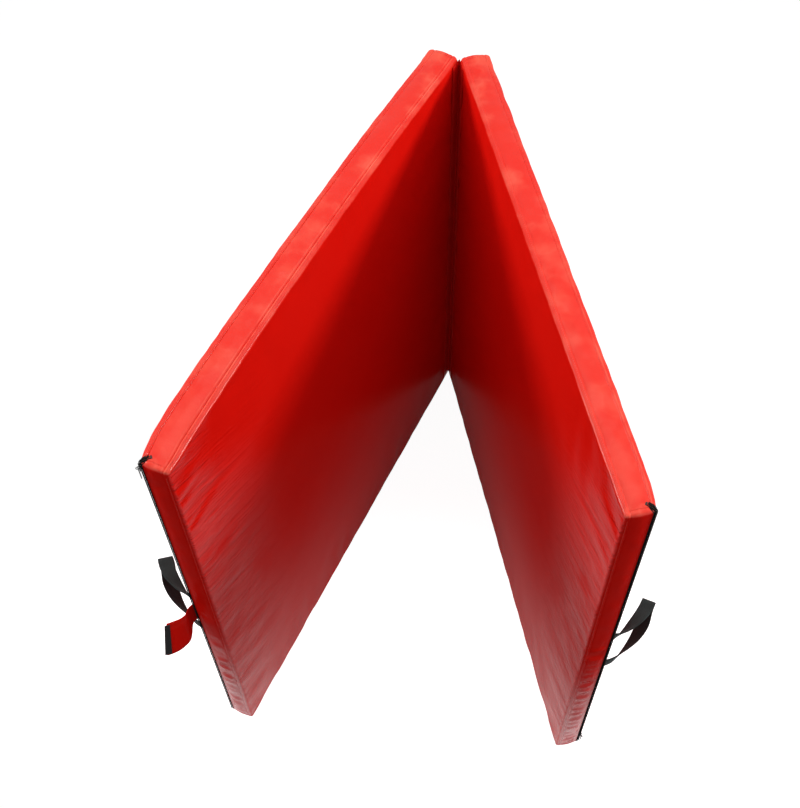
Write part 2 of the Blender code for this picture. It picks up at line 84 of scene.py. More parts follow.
camera = put("camera", bpy.data.cameras.new("camera"))
camera.matrix_world = (Matrix.Translation((0.12097, -1.26056, 2.421)) @ Matrix.Rotation(-TURNED, 4, "Z")
                       @ Matrix.Rotation(math.pi / 2 - PITCH_DOWN, 4, "X") @ Matrix.Rotation(TIPPED, 4, "Z"))
camera.data.lens = 51.6
camera.data.shift_x = -0.1114
bpy.context.scene.camera = camera
bpy.context.scene.view_settings.view_transform = "Standard"


# The mat stands on a sheet of pale paper under one wide soft lamp, with a soft lamp high on
# either side and an even light from all round. The paper shows white and keeps a soft shadow.
# Round the paper, and over the deeper part of the V and behind it, the floor is coloured dark:
# painted shade, which shows only in the light and reflections that the floor throws onto the mat.
class Value:
    """One number of a material as it varies over the surface; sums with it add Math nodes."""

    def __init__(self, finish, socket):
        self.finish = finish
        self.socket = socket

    def _with(self, operation, *operands):
        return self.finish.node("ShaderNodeMath", {"operation": operation}, operands)

    def __add__(self, other):
        return self._with("ADD", self, other)

    def __sub__(self, other):
        return self._with("SUBTRACT", self, other)

    def __rsub__(self, other):
        return self._with("SUBTRACT", other, self)

    def __mul__(self, other):
        return self._with("MULTIPLY", self, other)

    def __pow__(self, other):
        return self._with("POWER", self, other)

    __radd__ = __add__
    __rmul__ = __mul__

    def absolute(self):
        return self._with("ABSOLUTE", self)

    def ribs(self, pitch):
        """Even ribs between minus one and one, so many metres apart."""
        return self._with("SINE", self * (math.tau / pitch))

    def ridges(self, sharpness):
        """Thin lines along the middle values of a speckle, thinner with a higher number."""
        return (1.0 - (self * 2.0 - 1.0).absolute() * sharpness).limited()

    def limited(self):
        return self.finish.node("ShaderNodeClamp", {}, {"Value": self})

    def part(self, name):
        """Another output of the same node, such as one axis of a place."""
        return Value(self.finish, self.socket.node.outputs[name])

    def between(self, low, high):
        """Nothing below the low value, all above the high one, and smooth in between."""
        return self.finish.node("ShaderNodeMapRange", {"interpolation_type": "SMOOTHSTEP"},
                                {"Value": self, "From Min": low, "From Max": high})


class Finish:
    """One material, or the surroundings, with a method that adds any node to it."""

    def __init__(self, name, surroundings=False):
        self.material = (bpy.data.worlds if surroundings else bpy.data.materials).new(name)
        self.material.use_nodes = True
        self.tree = self.material.node_tree
        self.shader = self.tree.nodes["Background" if surroundings else "Principled BSDF"]

    def node(self, kind, settings, inputs=()):
        made = self.tree.nodes.new(kind)
        for name, setting in settings.items():
            setattr(made, name, setting)
        if isinstance(inputs, dict):
            sockets = {socket.name: socket for socket in reversed(made.inputs) if socket.enabled}
            pairs = [(sockets[name], value) for name, value in inputs.items()]
        else:
            pairs = list(zip(made.inputs, inputs))
        for socket, value in pairs:
            self.join(value, socket)
        return Value(self, next(socket for socket in made.outputs if socket.enabled))

    def join(self, value, socket):
        if isinstance(value, Value):
            self.tree.links.new(value.socket, socket)
        elif socket.type == "RGBA":
            socket.default_value = (*value, 1.0)
        else:
            socket.default_value = value

    def set(self, **values):
        """Inputs of the surface shader, with their names written with underscores."""
        for name, value in values.items():
            socket = name.replace("_", " ").title().replace("Ior", "IOR")
            self.join(value, self.shader.inputs[socket])

    def surface(self, share, first, second, roughness, height, depth, **others):
        """A surface mixed of two colours, with a roughness, a relief and other inputs."""
        self.set(base_color=self.mixed(share, first, second), roughness=roughness,
                 normal=self.relief(height, depth), **others)

    def spot(self):
        """The place in the object's own space, in metres."""
        return self.node("ShaderNodeTexCoord", {}).part("Object")

    def place(self):
        """The place on the piece, in metres, as its own stored flat coordinates."""
        return self.node("ShaderNodeAttribute", {"attribute_name": "cloth"}).part("Vector")

    def axes(self, place):
        split = self.node("ShaderNodeSeparateXYZ", {}, [place])
        return split.part("X"), split.part("Y"), split.part("Z")

    def speckle(self, place, scale, detail=2.0, roughness=0.5):
        return self.node("ShaderNodeTexNoise", {}, {"Vector": place, "Scale": scale,
                                                    "Detail": detail, "Roughness": roughness})

    def mixed(self, share, first, second):
        return self.node("ShaderNodeMix", {"data_type": "RGBA"},
                         {"Factor": share, "A": first, "B": second})

    def shown(self):
        """One for the rays that show the white round the mat, nothing for those that light it."""
        ray = self.node("ShaderNodeLightPath", {})
        return (ray.part("Is Camera Ray") + ray.part("Is Glossy Ray")
                + ray.part("Is Transmission Ray")).limited()

    def relief(self, height, depth, under=None):
        """A surface normal raised by a height from 0 to 1 times a depth in metres."""
        inputs = {"Height": height, "Distance": depth, "Strength": 1.0}
        if under:
            inputs["Normal"] = under
        return self.node("ShaderNodeBump", {}, inputs)


def lamp(name, place, target, size, power, colour):
    """A square soft lamp at a place, turned towards a target."""
    data = bpy.data.lights.new(name, "AREA")
    data.color = colour
    data.shape = "SQUARE"
    data.size = size
    data.energy = power
    made = put(name, data)
    made.location = place
    made.rotation_euler = (Vector(target) - Vector(place)).to_track_quat("-Z", "Y").to_euler()


lamp("lamp_above", (0.0, 0.1, 3.1), (0.0, 0.0, 0.0), 2.4, 22.0, (1.0, 0.91, 0.80))
lamp("lamp_left", (-2.3, 0.1, 2.1), (0.0, 0.0, 0.5), 0.9, 34.0, (1.0, 0.97, 0.93))
lamp("lamp_right", (2.3, 0.1, 2.1), (0.0, 0.0, 0.5), 0.7, 39.0, (1.0, 0.97, 0.93))

BLACK, WHITE = (0.0, 0.0, 0.0), (1.0, 1.0, 1.0)
EVEN_LIGHT = (0.50, 0.50, 0.50)
NEAR_PAPER, DARK_FLOOR = (0.86, 0.87, 0.90), (0.07, 0.07, 0.07)
FLOOR_REACH = 9.0
floor_data = bpy.data.meshes.new("floor")
floor_data.from_pydata([(-FLOOR_REACH, -FLOOR_REACH, 0), (FLOOR_REACH, -FLOOR_REACH, 0),
                        (FLOOR_REACH, FLOOR_REACH, 0), (-FLOOR_REACH, FLOOR_REACH, 0)], [], [(0, 1, 2, 3)])
floor = put("floor", floor_data)
floor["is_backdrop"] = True
paper = Finish("pale_paper")
away_x, away_y, _ = paper.axes(paper.spot())
# Painted shade: the floor is coloured dark round the paper and from the middle of the V backwards.
floor_shade = (away_x.absolute().between(0.62, 0.95) + (0.0 - away_y).between(0.52, 0.66)
          + away_y.between(-0.22, 0.16) * 0.85).limited()
paper.set(base_color=paper.mixed(floor_shade, NEAR_PAPER, DARK_FLOOR), roughness=0.9, specular_ior_level=0.1,
          emission_color=paper.mixed(paper.shown(), BLACK, WHITE), emission_strength=0.94)
floor_data.materials.append(paper.material)
studio = Finish("studio", surroundings=True)
studio.set(color=studio.mixed(studio.shown(), EVEN_LIGHT, WHITE))
bpy.context.scene.world = studio.material


# Each panel is a slab of foam in a sewn cover. In a panel's own frame x runs from the fold
# to the free end, y from the inner face outwards and z up; the left panel mirrors the right.
LENGTH = 1.000
HEIGHT = 1.000
FOLD_X = 0.0020
FACE_Y = 0.0013
BACK_Y = 0.0518
EDGE = 0.0075
RIM = 0.0095
GAP = 0.0003
SEAM_GAP = 0.00003
AT_EDGE = 1e-6
MIDDLE_Y = (FACE_Y + BACK_Y) / 2
fold = next(joint for joint in frame["joints"] if joint["name"] == "fold")
HALF_ANGLE = math.radians(-fold["range_deg"][0]) / 2
ROOT = Vector((fold["pos_m"][0], fold["pos_m"][1], 0.0))
SIDES = {"left": -1.0, "right": 1.0}


def panel_matrix(side):
    along = (side * math.sin(HALF_ANGLE), -math.cos(HALF_ANGLE), 0.0)
    outward = (side * math.cos(HALF_ANGLE), math.sin(HALF_ANGLE), 0.0)
    turn = Matrix((along, outward, (0.0, 0.0, 1.0))).transposed().to_4x4()
    return Matrix.Translation(ROOT) @ turn


def in_row_frame(side, point):
    """A point of one panel's frame in the shared frame."""
    return panel_matrix(side) @ Vector(point)


def ring(centre, first, second):
    """Six points round a centre, or round each of many, on an ellipse with these half axes."""
    angles = [math.tau * turn / 6 for turn in range(6)]
    return [centre + first * math.cos(angle) + second * math.sin(angle) for angle in angles]


def tube(base, rings, count, turned):
    """Faces of a closed tube from rings of points that follow one another, with both ends;
    turned, where the rings run the other way round."""
    faces = [tuple(range(base, base + count))[::-1],
             tuple(range(base + (rings - 1) * count, base + rings * count))]
    for low in range(base, base + (rings - 1) * count, count):
        for place in range(count):
            after = (place + 1) % count
            faces.append((low + place, low + after, low + count + after, low + count + place))
    return [face[::-1] for face in faces] if turned else faces


def piece(name, points, faces, side, finish, cloth=None):
    """A mesh from points in a panel's frame, with flat coordinates for its material."""
    data = bpy.data.meshes.new(name)
    matrix = np.array(panel_matrix(side))
    points = np.asarray(points, float)
    if side < 0:
        faces = [tuple(reversed(face)) for face in faces]
    data.from_pydata((points @ matrix[:3, :3].T + matrix[:3, 3]).tolist(), [], faces)
    stored = data.attributes.new("cloth", "FLOAT_VECTOR", "POINT")
    flat = np.asarray(points if cloth is None else cloth, np.float32)
    stored.data.foreach_set("vector", flat.ravel())
    data.polygons.foreach_set("use_smooth", [True] * len(data.polygons))
    data.materials.append(finish.material)
    return put(name, data)


def smoothstep(low, high, value):
    """Nothing below the low value, one above the high one, and smooth in between."""
    part = np.clip((value - low) / (high - low), 0.0, 1.0)
    return part * part * (3 - 2 * part)


def hump(value, start, full, fading, gone):
    """Rises from the start, holds in the middle and fades away at the end."""
    return smoothstep(start, full, value) * (1 - smoothstep(fading, gone, value))


def bell(value):
    """One at nothing, fading away on both sides."""
    return np.exp(-value ** 2)


def unit(value):
    """The value, cut off below nothing and above one."""
    return np.clip(value, 0.0, 1.0)


def unrest(places):
    """Smooth noise between about minus one and one at each place."""
    return np.array([noise.noise(place) for place in places])


def box_grid(lines):
    """All six sides of the panel's sharp box as one welded grid: points, quads, and the
    numbers of the three grid lines that cross at each point."""
    index, quads = {}, []
    for axis in range(3):
        first, second = (axis + 1) % 3, (axis + 2) % 3
        for end in (0, len(lines[axis]) - 1):
            for i in range(len(lines[first]) - 1):
                for j in range(len(lines[second]) - 1):
                    corners = []
                    for a, b in ((i, j), (i + 1, j), (i + 1, j + 1), (i, j + 1)):
                        crossing = [0, 0, 0]
                        crossing[axis], crossing[first], crossing[second] = end, a, b
                        corners.append(index.setdefault(tuple(crossing), len(index)))
                    quads.append(corners if end else corners[::-1])
    crossings = np.array(list(index))
    points = np.stack([line[places] for line, places in zip(lines, crossings.T)], axis=1)
    return points, np.array(quads), crossings


BOX_LOW = np.array((FOLD_X, FACE_Y, 0.0))
BOX_HIGH = np.array((LENGTH, BACK_Y, HEIGHT))


def on_walls(sharp):
    """Which points of the sharp box are on none of its two large faces."""
    return (np.abs(sharp[:, 1] - FACE_Y) > AT_EDGE) & (np.abs(sharp[:, 1] - BACK_Y) > AT_EDGE)


def rounded(sharp):
    """The box with its rounded edges: points and outward directions for sharp ones."""
    away = sharp - np.clip(sharp, BOX_LOW + EDGE, BOX_HIGH - EDGE)
    direction = away / np.linalg.norm(away, axis=1)[:, None]
    return sharp - away + direction * EDGE, direction


def pattern_lines(low, high):
    """Grid lines of the pattern for the cloth simulation, with one on each sewn line."""
    even = np.linspace(low + RIM, high - RIM, max(4, round((high - low - 2 * RIM) / 0.009)) + 1)
    return np.concatenate([[low, low + RIM / 2], even, [high - RIM / 2, high]])


SETTLED = 18
UNREST, UNREST_SCALE = 0.0008, 60.0
WALL_SLACK = 0.35
SOFT_HOLD = 0.02


def gathered(seed):
    """How far the loose cloth of one cover stands out or sinks in, as a table on its pattern.
    The sewn lines hold still and the foam is a soft bed under the rest. Beside the seams the
    cloth is a little longer than the seams let it be, so it gathers there."""
    lines = [pattern_lines(low, high) for low, high in zip(BOX_LOW, BOX_HIGH)]
    table = np.zeros([len(line) for line in lines])
    sharp, quads, crossings = box_grid(lines)
    flat, direction = rounded(sharp)
    x, y, z = sharp.T
    flat = flat + direction * (unrest((flat + seed) * UNREST_SCALE) * UNREST)[:, None]
    walls = on_walls(sharp)
    sewn_down = walls & ((np.abs(y - FACE_Y - RIM) < 1e-4) | (np.abs(y - BACK_Y + RIM) < 1e-4))
    reach = 0.085 + 0.05 * unrest(sharp * 7.0 + seed)
    inwards = np.minimum.reduce([x - FOLD_X, LENGTH - x, z, HEIGHT - z])
    slack = np.where(walls, WALL_SLACK, bell(inwards / reach))
    data = bpy.data.meshes.new("loose_cover")
    data.from_pydata(flat.tolist(), [], quads.tolist())
    cover = put("loose_cover", data)
    held = cover.vertex_groups.new(name="held")
    tight = cover.vertex_groups.new(name="tight")
    for number, (fixed, loose) in enumerate(zip(sewn_down, slack)):
        held.add([number], 1.0 if fixed else SOFT_HOLD, "REPLACE")
        tight.add([number], 1.0 - float(loose), "REPLACE")
    cloth = cover.modifiers.new("cloth", "CLOTH")
    vinyl_fabric = {"quality": 4, "mass": 0.3, "tension_stiffness": 30, "compression_stiffness": 30,
                    "shear_stiffness": 12, "bending_stiffness": 4, "air_damping": 2, "pin_stiffness": 6,
                    "vertex_group_mass": "held", "vertex_group_shrink": "tight",
                    "shrink_min": -0.026, "shrink_max": 0.0}
    for setting, value in vinyl_fabric.items():
        setattr(cloth.settings, setting, value)
    cloth.settings.effector_weights.gravity = 0.0
    cloth.collision_settings.use_collision = False
    cloth.point_cache.frame_start = 1
    cloth.point_cache.frame_end = SETTLED
    for moment in range(1, SETTLED + 1):
        bpy.context.scene.frame_set(moment)
    settled = cover.evaluated_get(bpy.context.evaluated_depsgraph_get()).data
    ended = np.empty(len(sharp) * 3, np.float32)
    settled.vertices.foreach_get("co", ended)
    height = ((ended.reshape(-1, 3) - flat) * direction).sum(axis=1)
    pairs = np.concatenate([quads[:, [0, 1]], quads[:, [1, 2]], quads[:, [2, 3]], quads[:, [3, 0]]])

    def evened(values, times):
        for _ in range(times):
            total = np.bincount(pairs[:, 0], values[pairs[:, 1]], len(values))
            total += np.bincount(pairs[:, 1], values[pairs[:, 0]], len(values))
            count = np.bincount(pairs.ravel(), minlength=len(values))
            values = 0.5 * values + 0.5 * total / count
        return values

    gathers = evened(height, 2)
    gathers -= evened(gathers, 40)
    table[tuple(crossings.T)] = gathers
    bpy.data.objects.remove(cover)
    bpy.data.meshes.remove(data)
    bpy.context.scene.frame_set(1)
    return lines, table


def limited(value, low, high):
    """The value, held softly between two limits."""
    middle, half = (low + high) / 2, (high - low) / 2
    return middle + half * np.tanh((value - middle) / half)


# The wide gathers at the free ends are given as height, lean and length. The others have
# an edge and a number, and lengths, half widths and depths drawn between two values. Creases
# run out of each corner: bearing in degrees, length and depth.
WIDE_GATHERS = {
    "left": ((0.913, -0.10, 0.045), (0.832, 0.10, 0.060), (0.695, -0.20, 0.130), (0.577, -0.60, 0.080),
             (0.408, -0.65, 0.120), (0.307, -0.60, 0.100), (0.216, -0.25, 0.090), (0.130, -0.45, 0.080)),
    "right": ((0.894, -0.90, 0.050), (0.795, 0.17, 0.060), (0.719, -0.30, 0.075), (0.583, -0.05, 0.070),
              (0.480, -0.35, 0.080), (0.369, -0.45, 0.090), (0.239, -0.40, 0.125), (0.120, -0.50, 0.070))}
FACE_GATHERS = (("end", 30, (0.035, 0.100), (0.0040, 0.0080), (0.0006, 0.0014)),
                ("foot", 16, (0.04, 0.11), (0.009, 0.014), (0.0003, 0.0008)),
                ("top", 13, (0.03, 0.07), (0.009, 0.014), (0.0002, 0.0006)),
                ("hinge", 10, (0.03, 0.09), (0.010, 0.016), (0.0003, 0.0008)))
BACK_GATHERS = (("end", 18, (0.05, 0.16), (0.009, 0.016), (0.0006, 0.0016)),
                ("foot", 14, (0.05, 0.14), (0.010, 0.018), (0.0006, 0.0014)),
                ("top", 14, (0.04, 0.12), (0.010, 0.018), (0.0005, 0.0014)),
                ("hinge", 12, (0.04, 0.12), (0.010, 0.018), (0.0004, 0.0012)))
CORNER_CREASES = ((22, 0.05, 0.0007), (41, 0.07, 0.0010), (57, 0.055, 0.0008), (74, 0.045, 0.0007))
WIDE_HALF, WIDE_DEPTH = 0.0058, 0.0017
# The handle and the strap hold the cover flat between these places along and up the panel.
FITTINGS_X, FITTINGS_Z = (0.82, 0.93), (0.24, 0.375, 0.555, 0.69)
# The cloth sinks in and stands out no further than this on each side of the panel.
FACE_LIMITS, BACK_LIMITS = (-0.0013, 0.0009), (-0.0026, 0.0035)
TOP_LIMITS, END_LIMITS, HINGE_LIMITS = (-0.0022, 0.0026), (-0.0026, 0.0032), (-0.002, 0.0006)
TOP_CROWN, END_CROWN, HINGE_CROWN = 0.0026, 0.0022, 0.0006
HINGE_TOP_LIFT, CORNER_RIDGE, PROUD_EDGE = 0.0045, 0.0010, 0.0011
LEAST_HEIGHT = 0.0004


class Skin:
    """The cover of one panel as a surface: from a place on the sharp box to the sewn shape."""

    def __init__(self, name):
        left = name == "left"
        self.side = SIDES[name]
        self.bow, self.swell = (0.0112, 0.0085) if left else (0.0012, 0.0058)
        self.pattern, self.gathers = gathered(3.0 if left else 7.0)
        draw = random.Random(11 if left else 23)
        self.face_folds = [("end", *wide, WIDE_HALF, WIDE_DEPTH) for wide in WIDE_GATHERS[name]]
        self.back_folds = []
        for folds, rows in ((self.face_folds, FACE_GATHERS), (self.back_folds, BACK_GATHERS)):
            for row in rows:
                folds += self.folds(draw, *row)
        height = 0.30 if left else 0.52
        self.end_ruffles = self.ruffles(draw, 0.012, height, 0.011, 0.024, (0.0018, 0.0036))
        self.end_ruffles += self.ruffles(draw, height, 0.55, 0.02, 0.05, (0.0006, 0.0014))
        self.end_ruffles += self.ruffles(draw, 0.55, 0.99, 0.035, 0.080, (0.0002, 0.0007))
        self.top_ruffles = self.ruffles(draw, 0.02, 0.98, 0.022, 0.060, (0.0006, 0.0017))
        self.foot_ruffles = self.ruffles(draw, 0.03, 0.97, 0.025, 0.060, (0.0004, 0.0010))
        self.hinge_ruffles = self.ruffles(draw, 0.03, 0.97, 0.030, 0.080, (0.0003, 0.0009))

    def folds(self, draw, edge, count, lengths, widths, depths):
        """Gathers that run into a face from one of its sewn edges: place along the edge,
        lean, length, half width and depth."""
        made = []
        for index in range(count):
            along = (index + draw.uniform(0.15, 0.85)) / count
            lean = draw.uniform(-0.55, 0.05) if edge == "end" else draw.uniform(-0.4, 0.4)
            made.append((edge, along, lean, *(draw.uniform(*limits) for limits in (lengths, widths, depths))))
        return made

    def ruffles(self, draw, start, stop, nearest, furthest, depths):
        """Gathers that cross a wall: place along it, lean, half width, depth, and out or in."""
        made = []
        along = start
        while along < stop:
            made.append((along, draw.uniform(-0.35, 0.35), draw.uniform(0.0035, 0.0075),
                         draw.uniform(*depths), draw.choice((-1.0, 1.0, 1.0))))
            along += draw.uniform(nearest, furthest)
        return made

    def fold_depth(self, folds, x, z):
        """How deep all gathers of a face are at a place, in metres."""
        total = np.zeros_like(x)
        for edge, along, lean, length, half, depth in folds:
            inwards, beside = {"end": (LENGTH - x, z), "hinge": (x - FOLD_X, z), "foot": (z, x),
                               "top": (HEIGHT - z, x)}[edge]
            reach = inwards / length
            across = (beside - along - lean * inwards) / (half * (1 + 1.2 * reach))
            total += (depth * np.exp(-1.3 * np.abs(across) ** 1.5 - 1.2 * np.clip(reach, 0, 4) ** 2)
                      * smoothstep(-0.004, 0.012, inwards))
        for edge_x, edge_z in ((LENGTH, HEIGHT), (LENGTH, 0.0), (FOLD_X, HEIGHT), (FOLD_X, 0.0)):
            aside, below = np.abs(x - edge_x), np.abs(z - edge_z)
            distance, angle = np.hypot(aside, below), np.arctan2(below, aside)
            for bearing, length, depth in CORNER_CREASES:
                across = distance * (angle - math.radians(bearing)) / (0.0025 + 0.07 * distance)
                total += depth * bell(across) * bell(distance / length) * smoothstep(0.003, 0.016, distance)
        return total

    def ruffle_height(self, ruffles, along, beside):
        """How far all gathers of a wall stand out at a place, in metres."""
        total = np.zeros_like(along)
        for place, lean, half, depth, sign in ruffles:
            total += sign * depth * bell((along - place - lean * (beside - MIDDLE_Y)) / half)
        return total

    def gather_height(self, sharp):
        """The simulated gathers at a place, read between the lines of the pattern; on the
        large faces they run down towards the free end at a slant."""
        sagged = sharp.copy()
        slant = 0.45 * (LENGTH - sharp[:, 0]) * smoothstep(0.70, 0.90, sharp[:, 0])
        sagged[:, 2] += np.where(on_walls(sharp), 0.0, slant) * (1 - smoothstep(0.85, 0.98, sharp[:, 2]))
        cells, parts = [], []
        for axis, line in enumerate(self.pattern):
            cell = np.clip(np.searchsorted(line, sagged[:, axis]) - 1, 0, len(line) - 2)
            cells.append(cell)
            parts.append(unit((sagged[:, axis] - line[cell]) / (line[cell + 1] - line[cell])))
        total = np.zeros(len(sharp))
        for corner in range(8):
            steps = [corner >> axis & 1 for axis in range(3)]
            weight = np.prod([part if step else 1 - part for part, step in zip(parts, steps)], axis=0)
            total += weight * self.gathers[tuple(cell + step for cell, step in zip(cells, steps))]
        return total

    def __call__(self, sharp, loose=True):
        """The sewn surface's points and outward directions for points on the sharp box, or
        where it is not loose, the smooth slab's under it."""
        sharp = np.asarray(sharp, float)
        points, direction = rounded(sharp)
        x, y, z = points.T
        fittings = smoothstep(*FITTINGS_X, x) * hump(z, *FITTINGS_Z)
        free = (1 - fittings) * (1 - smoothstep(0.945, 0.985, x))
        bow = self.bow * unit(1 - np.abs(2 * x - 1) ** 2.5) * unit(z) ** 1.6 * free
        thick = unit((y - FACE_Y) / (BACK_Y - FACE_Y))
        pillow = 0.45 + 0.55 * z + 0.25 * np.sin(unit(x) * math.pi) * np.sin(unit(z) * math.pi)
        shoulder = np.sqrt(unit(1 - unit((x - 0.905) / 0.082) ** 2))
        swell = self.swell * thick ** 1.3 * pillow * shoulder * (1 - fittings)
        if loose:
            points = points + direction * self.lift(sharp, points, direction, free)[:, None]
        points[:, 1] += bow + swell
        points[:, 2] = np.maximum(points[:, 2], LEAST_HEIGHT + 0.0002 * direction[:, 2])
        return points, direction

    def lift(self, sharp, points, direction, free):
        """How far the loose cloth stands out from the slab: in small unevennesses and
        gathers on each face and wall, and in ridges along the seams and edges."""
        x, y, z = points.T
        out_x, out_y, out_z = direction.T
        inner, outer = smoothstep(0.5, 0.95, -out_y), smoothstep(0.5, 0.95, out_y)
        end, hinge = smoothstep(0.6, 0.98, out_x), smoothstep(0.6, 0.98, -out_x)
        top, foot = smoothstep(0.6, 0.98, out_z), smoothstep(0.6, 0.98, -out_z)
        slack = self.gather_height(sharp)
        cloud = unrest(points[:, [0, 2, 1]] * (5.5, 5.5, 9.0) + (40.0 * self.side, 0.0, 0.0))
        crumple = unrest(points * 34.0 + (0.0, 0.0, 9.0 * self.side))
        crown = unit(1 - ((y - MIDDLE_Y) / (MIDDLE_Y - FACE_Y - RIM)) ** 2)
        gather = hump(y, FACE_Y + RIM, FACE_Y + RIM + 0.007, BACK_Y - RIM - 0.007, BACK_Y - RIM)
        on_face = 0.0002 + 0.0007 * cloud + 0.45 * slack - self.fold_depth(self.face_folds, x, z)
        on_back = 0.0016 * cloud + 0.7 * slack - self.fold_depth(self.back_folds, x, z)
        on_top = 0.9 * slack + self.ruffle_height(self.top_ruffles, x, y)
        on_end = 0.7 * slack + self.ruffle_height(self.end_ruffles, z, y)
        on_hinge = np.clip(self.ruffle_height(self.hinge_ruffles, z, y), *HINGE_LIMITS)
        total = inner * limited(on_face, *FACE_LIMITS) + outer * free * limited(on_back, *BACK_LIMITS)
        total += top * (crown * (TOP_CROWN + 0.0016 * cloud) + gather * limited(on_top, *TOP_LIMITS))
        total += end * (crown * (END_CROWN + 0.0010 * cloud) + gather * limited(on_end, *END_LIMITS))
        total += hinge * crown * (HINGE_CROWN + 0.6 * gather * on_hinge)
        total -= foot * crown * np.abs(self.ruffle_height(self.foot_ruffles, x, y))
        total += (0.0012 * top + 0.0006 * end) * crumple * crown
        total += top * HINGE_TOP_LIFT * bell((x - FOLD_X) / 0.035)
        total += CORNER_RIDGE * bell((out_x - out_z) / 0.30) * (out_z > 0.2) * (out_x > 0.2) * crown
        across_edge = 4 * ((out_x * out_y) ** 2 + out_z ** 2 * (1 - out_z ** 2))
        proud = PROUD_EDGE * (1 + (x < 0.03) * (z > 0.9))
        total += np.where((out_x > 0.2) & (out_y > 0.2), 0.0, proud * across_edge)
        return total + self.seam_relief(sharp)

    def seam_relief(self, sharp):
        """The sewn lines are pulled in, and the folded allowance beside them stands up."""
        x, y, z = sharp.T
        across = np.minimum(y - (FACE_Y + RIM), (BACK_Y - RIM) - y)
        at_zip = smoothstep(LENGTH - 0.001, LENGTH, x) * smoothstep(0.03, 0.036, y)
        groove = (-0.0002 if self.side < 0 else 0.0001) * bell(across / 0.0008)
        stronger = (smoothstep(0.12, 0.5, x) if self.side < 0 else 0.0) * (z > HEIGHT - AT_EDGE)
        ridge = ((0.0006 + 0.0009 * stronger) * bell((across + 0.0022) / 0.0013)
                 + (0.0004 + 0.0007 * stronger) * bell((across - 0.0026) / 0.0015))
        return np.where(on_walls(sharp), (groove + ridge) * (1 - at_zip), 0.0)


def edge_lines(low, high, cell, extra=()):
    """Grid lines from edge to edge: fine round the rounded edges, then even cells."""
    rounding = [EDGE * math.tan(math.radians(angle)) for angle in (0, 9, 18, 27, 36, 45)]
    lines = {low + EDGE - offset for offset in rounding} | {high - EDGE + offset for offset in rounding}
    lines |= set(extra)
    fixed = sorted(lines)
    for start, stop in zip(fixed, fixed[1:]):
        count = max(1, math.ceil((stop - start) / cell(start) - 0.01))
        lines |= {start + (stop - start) * step / count for step in range(1, count)}
    return np.array(sorted(lines))


CORNER_X = LENGTH - EDGE
HINGE_X = FOLD_X + EDGE
BESIDE_SEAM = (-0.0050, -0.0034, -0.0018, -0.0009, 0.0, GAP, 0.0012, 0.0025)
SEAMS_Y = [FACE_Y + RIM + offset for offset in BESIDE_SEAM]
SEAMS_Y += [BACK_Y - RIM - offset for offset in BESIDE_SEAM]
LINES = (edge_lines(FOLD_X, LENGTH, lambda x: 0.0060 if x > 0.88 else 0.0095,
                    (0.88, CORNER_X - SEAM_GAP, HINGE_X + SEAM_GAP, CORNER_X - 0.0015, HINGE_X + 0.0015)),
         edge_lines(FACE_Y, BACK_Y, lambda y: 0.0048, SEAMS_Y),
         edge_lines(0.0, HEIGHT, lambda z: 0.0056))
BOX_POINTS, BOX_QUADS, _ = box_grid(LINES)
BOX_MIDDLES = BOX_POINTS[BOX_QUADS].mean(axis=1)
ZIP_CENTRE = np.array((LENGTH - EDGE, BACK_Y - EDGE, 0.0))
ZIP_OUT = np.array((1.0, 1.0, 0.0)) / math.sqrt(2)
ZIP_ACROSS = np.array((-1.0, 1.0, 0.0)) / math.sqrt(2)
ZIP_OPENING = 0.0080
TURNED_IN = 0.0016


def sheet_of_cover(skin, cuts):
    """One cut piece of the cover: the quads that all its cuts keep, trimmed to the cutting
    planes, with its border turned in under the sewn line."""
    keep = np.ones(len(BOX_QUADS), bool)
    for point, way in cuts:
        keep &= (BOX_MIDDLES - np.array(point)) @ np.array(way) > -0.012
    quads = BOX_QUADS[keep]
    used, places = np.unique(quads, return_inverse=True)
    mesh = bmesh.new()
    corners = [mesh.verts.new(point) for point in BOX_POINTS[used]]
    for quad in places.reshape(quads.shape):
        mesh.faces.new([corners[place] for place in quad])
    for point, way in cuts:
        everything = list(mesh.verts) + list(mesh.edges) + list(mesh.faces)
        bmesh.ops.bisect_plane(mesh, geom=everything, dist=1e-6, plane_co=point, plane_no=way,
                               clear_inner=True, clear_outer=False)
    mesh.verts.index_update()
    sharp = np.array([vertex.co for vertex in mesh.verts])
    points, directions = skin(sharp)
    faces = [tuple(vertex.index for vertex in face.verts) for face in mesh.faces]
    turned = {}
    points, cloth = list(points), list(sharp)
    for edge in (edge for edge in mesh.edges if edge.is_boundary):
        loop = edge.link_loops[0]
        start, stop = loop.vert.index, loop.link_loop_next.vert.index
        for end in (start, stop):
            if end not in turned:
                turned[end] = len(points)
                points.append(points[end] - directions[end] * TURNED_IN)
                cloth.append(sharp[end])
        faces.append((stop, start, turned[start], turned[stop]))
    mesh.free()
    return np.array(points), faces, np.array(cloth)


# The cover's vinyl is a fabric base coated with soft red plastic. Its thin gloss shows low
# down, beside the free ends and on the top edges. The top walls are painted paler all over, more so
# in patches, along their seams and along the free-end edge: a painted highlight from the lamp above.
# The end walls are coloured darker and greyer towards their foot. Fine creases, threads and pores are relief.
RED, DEEPER_RED = (0.700, 0.0068, 0.0034), (0.74, 0.012, 0.007)
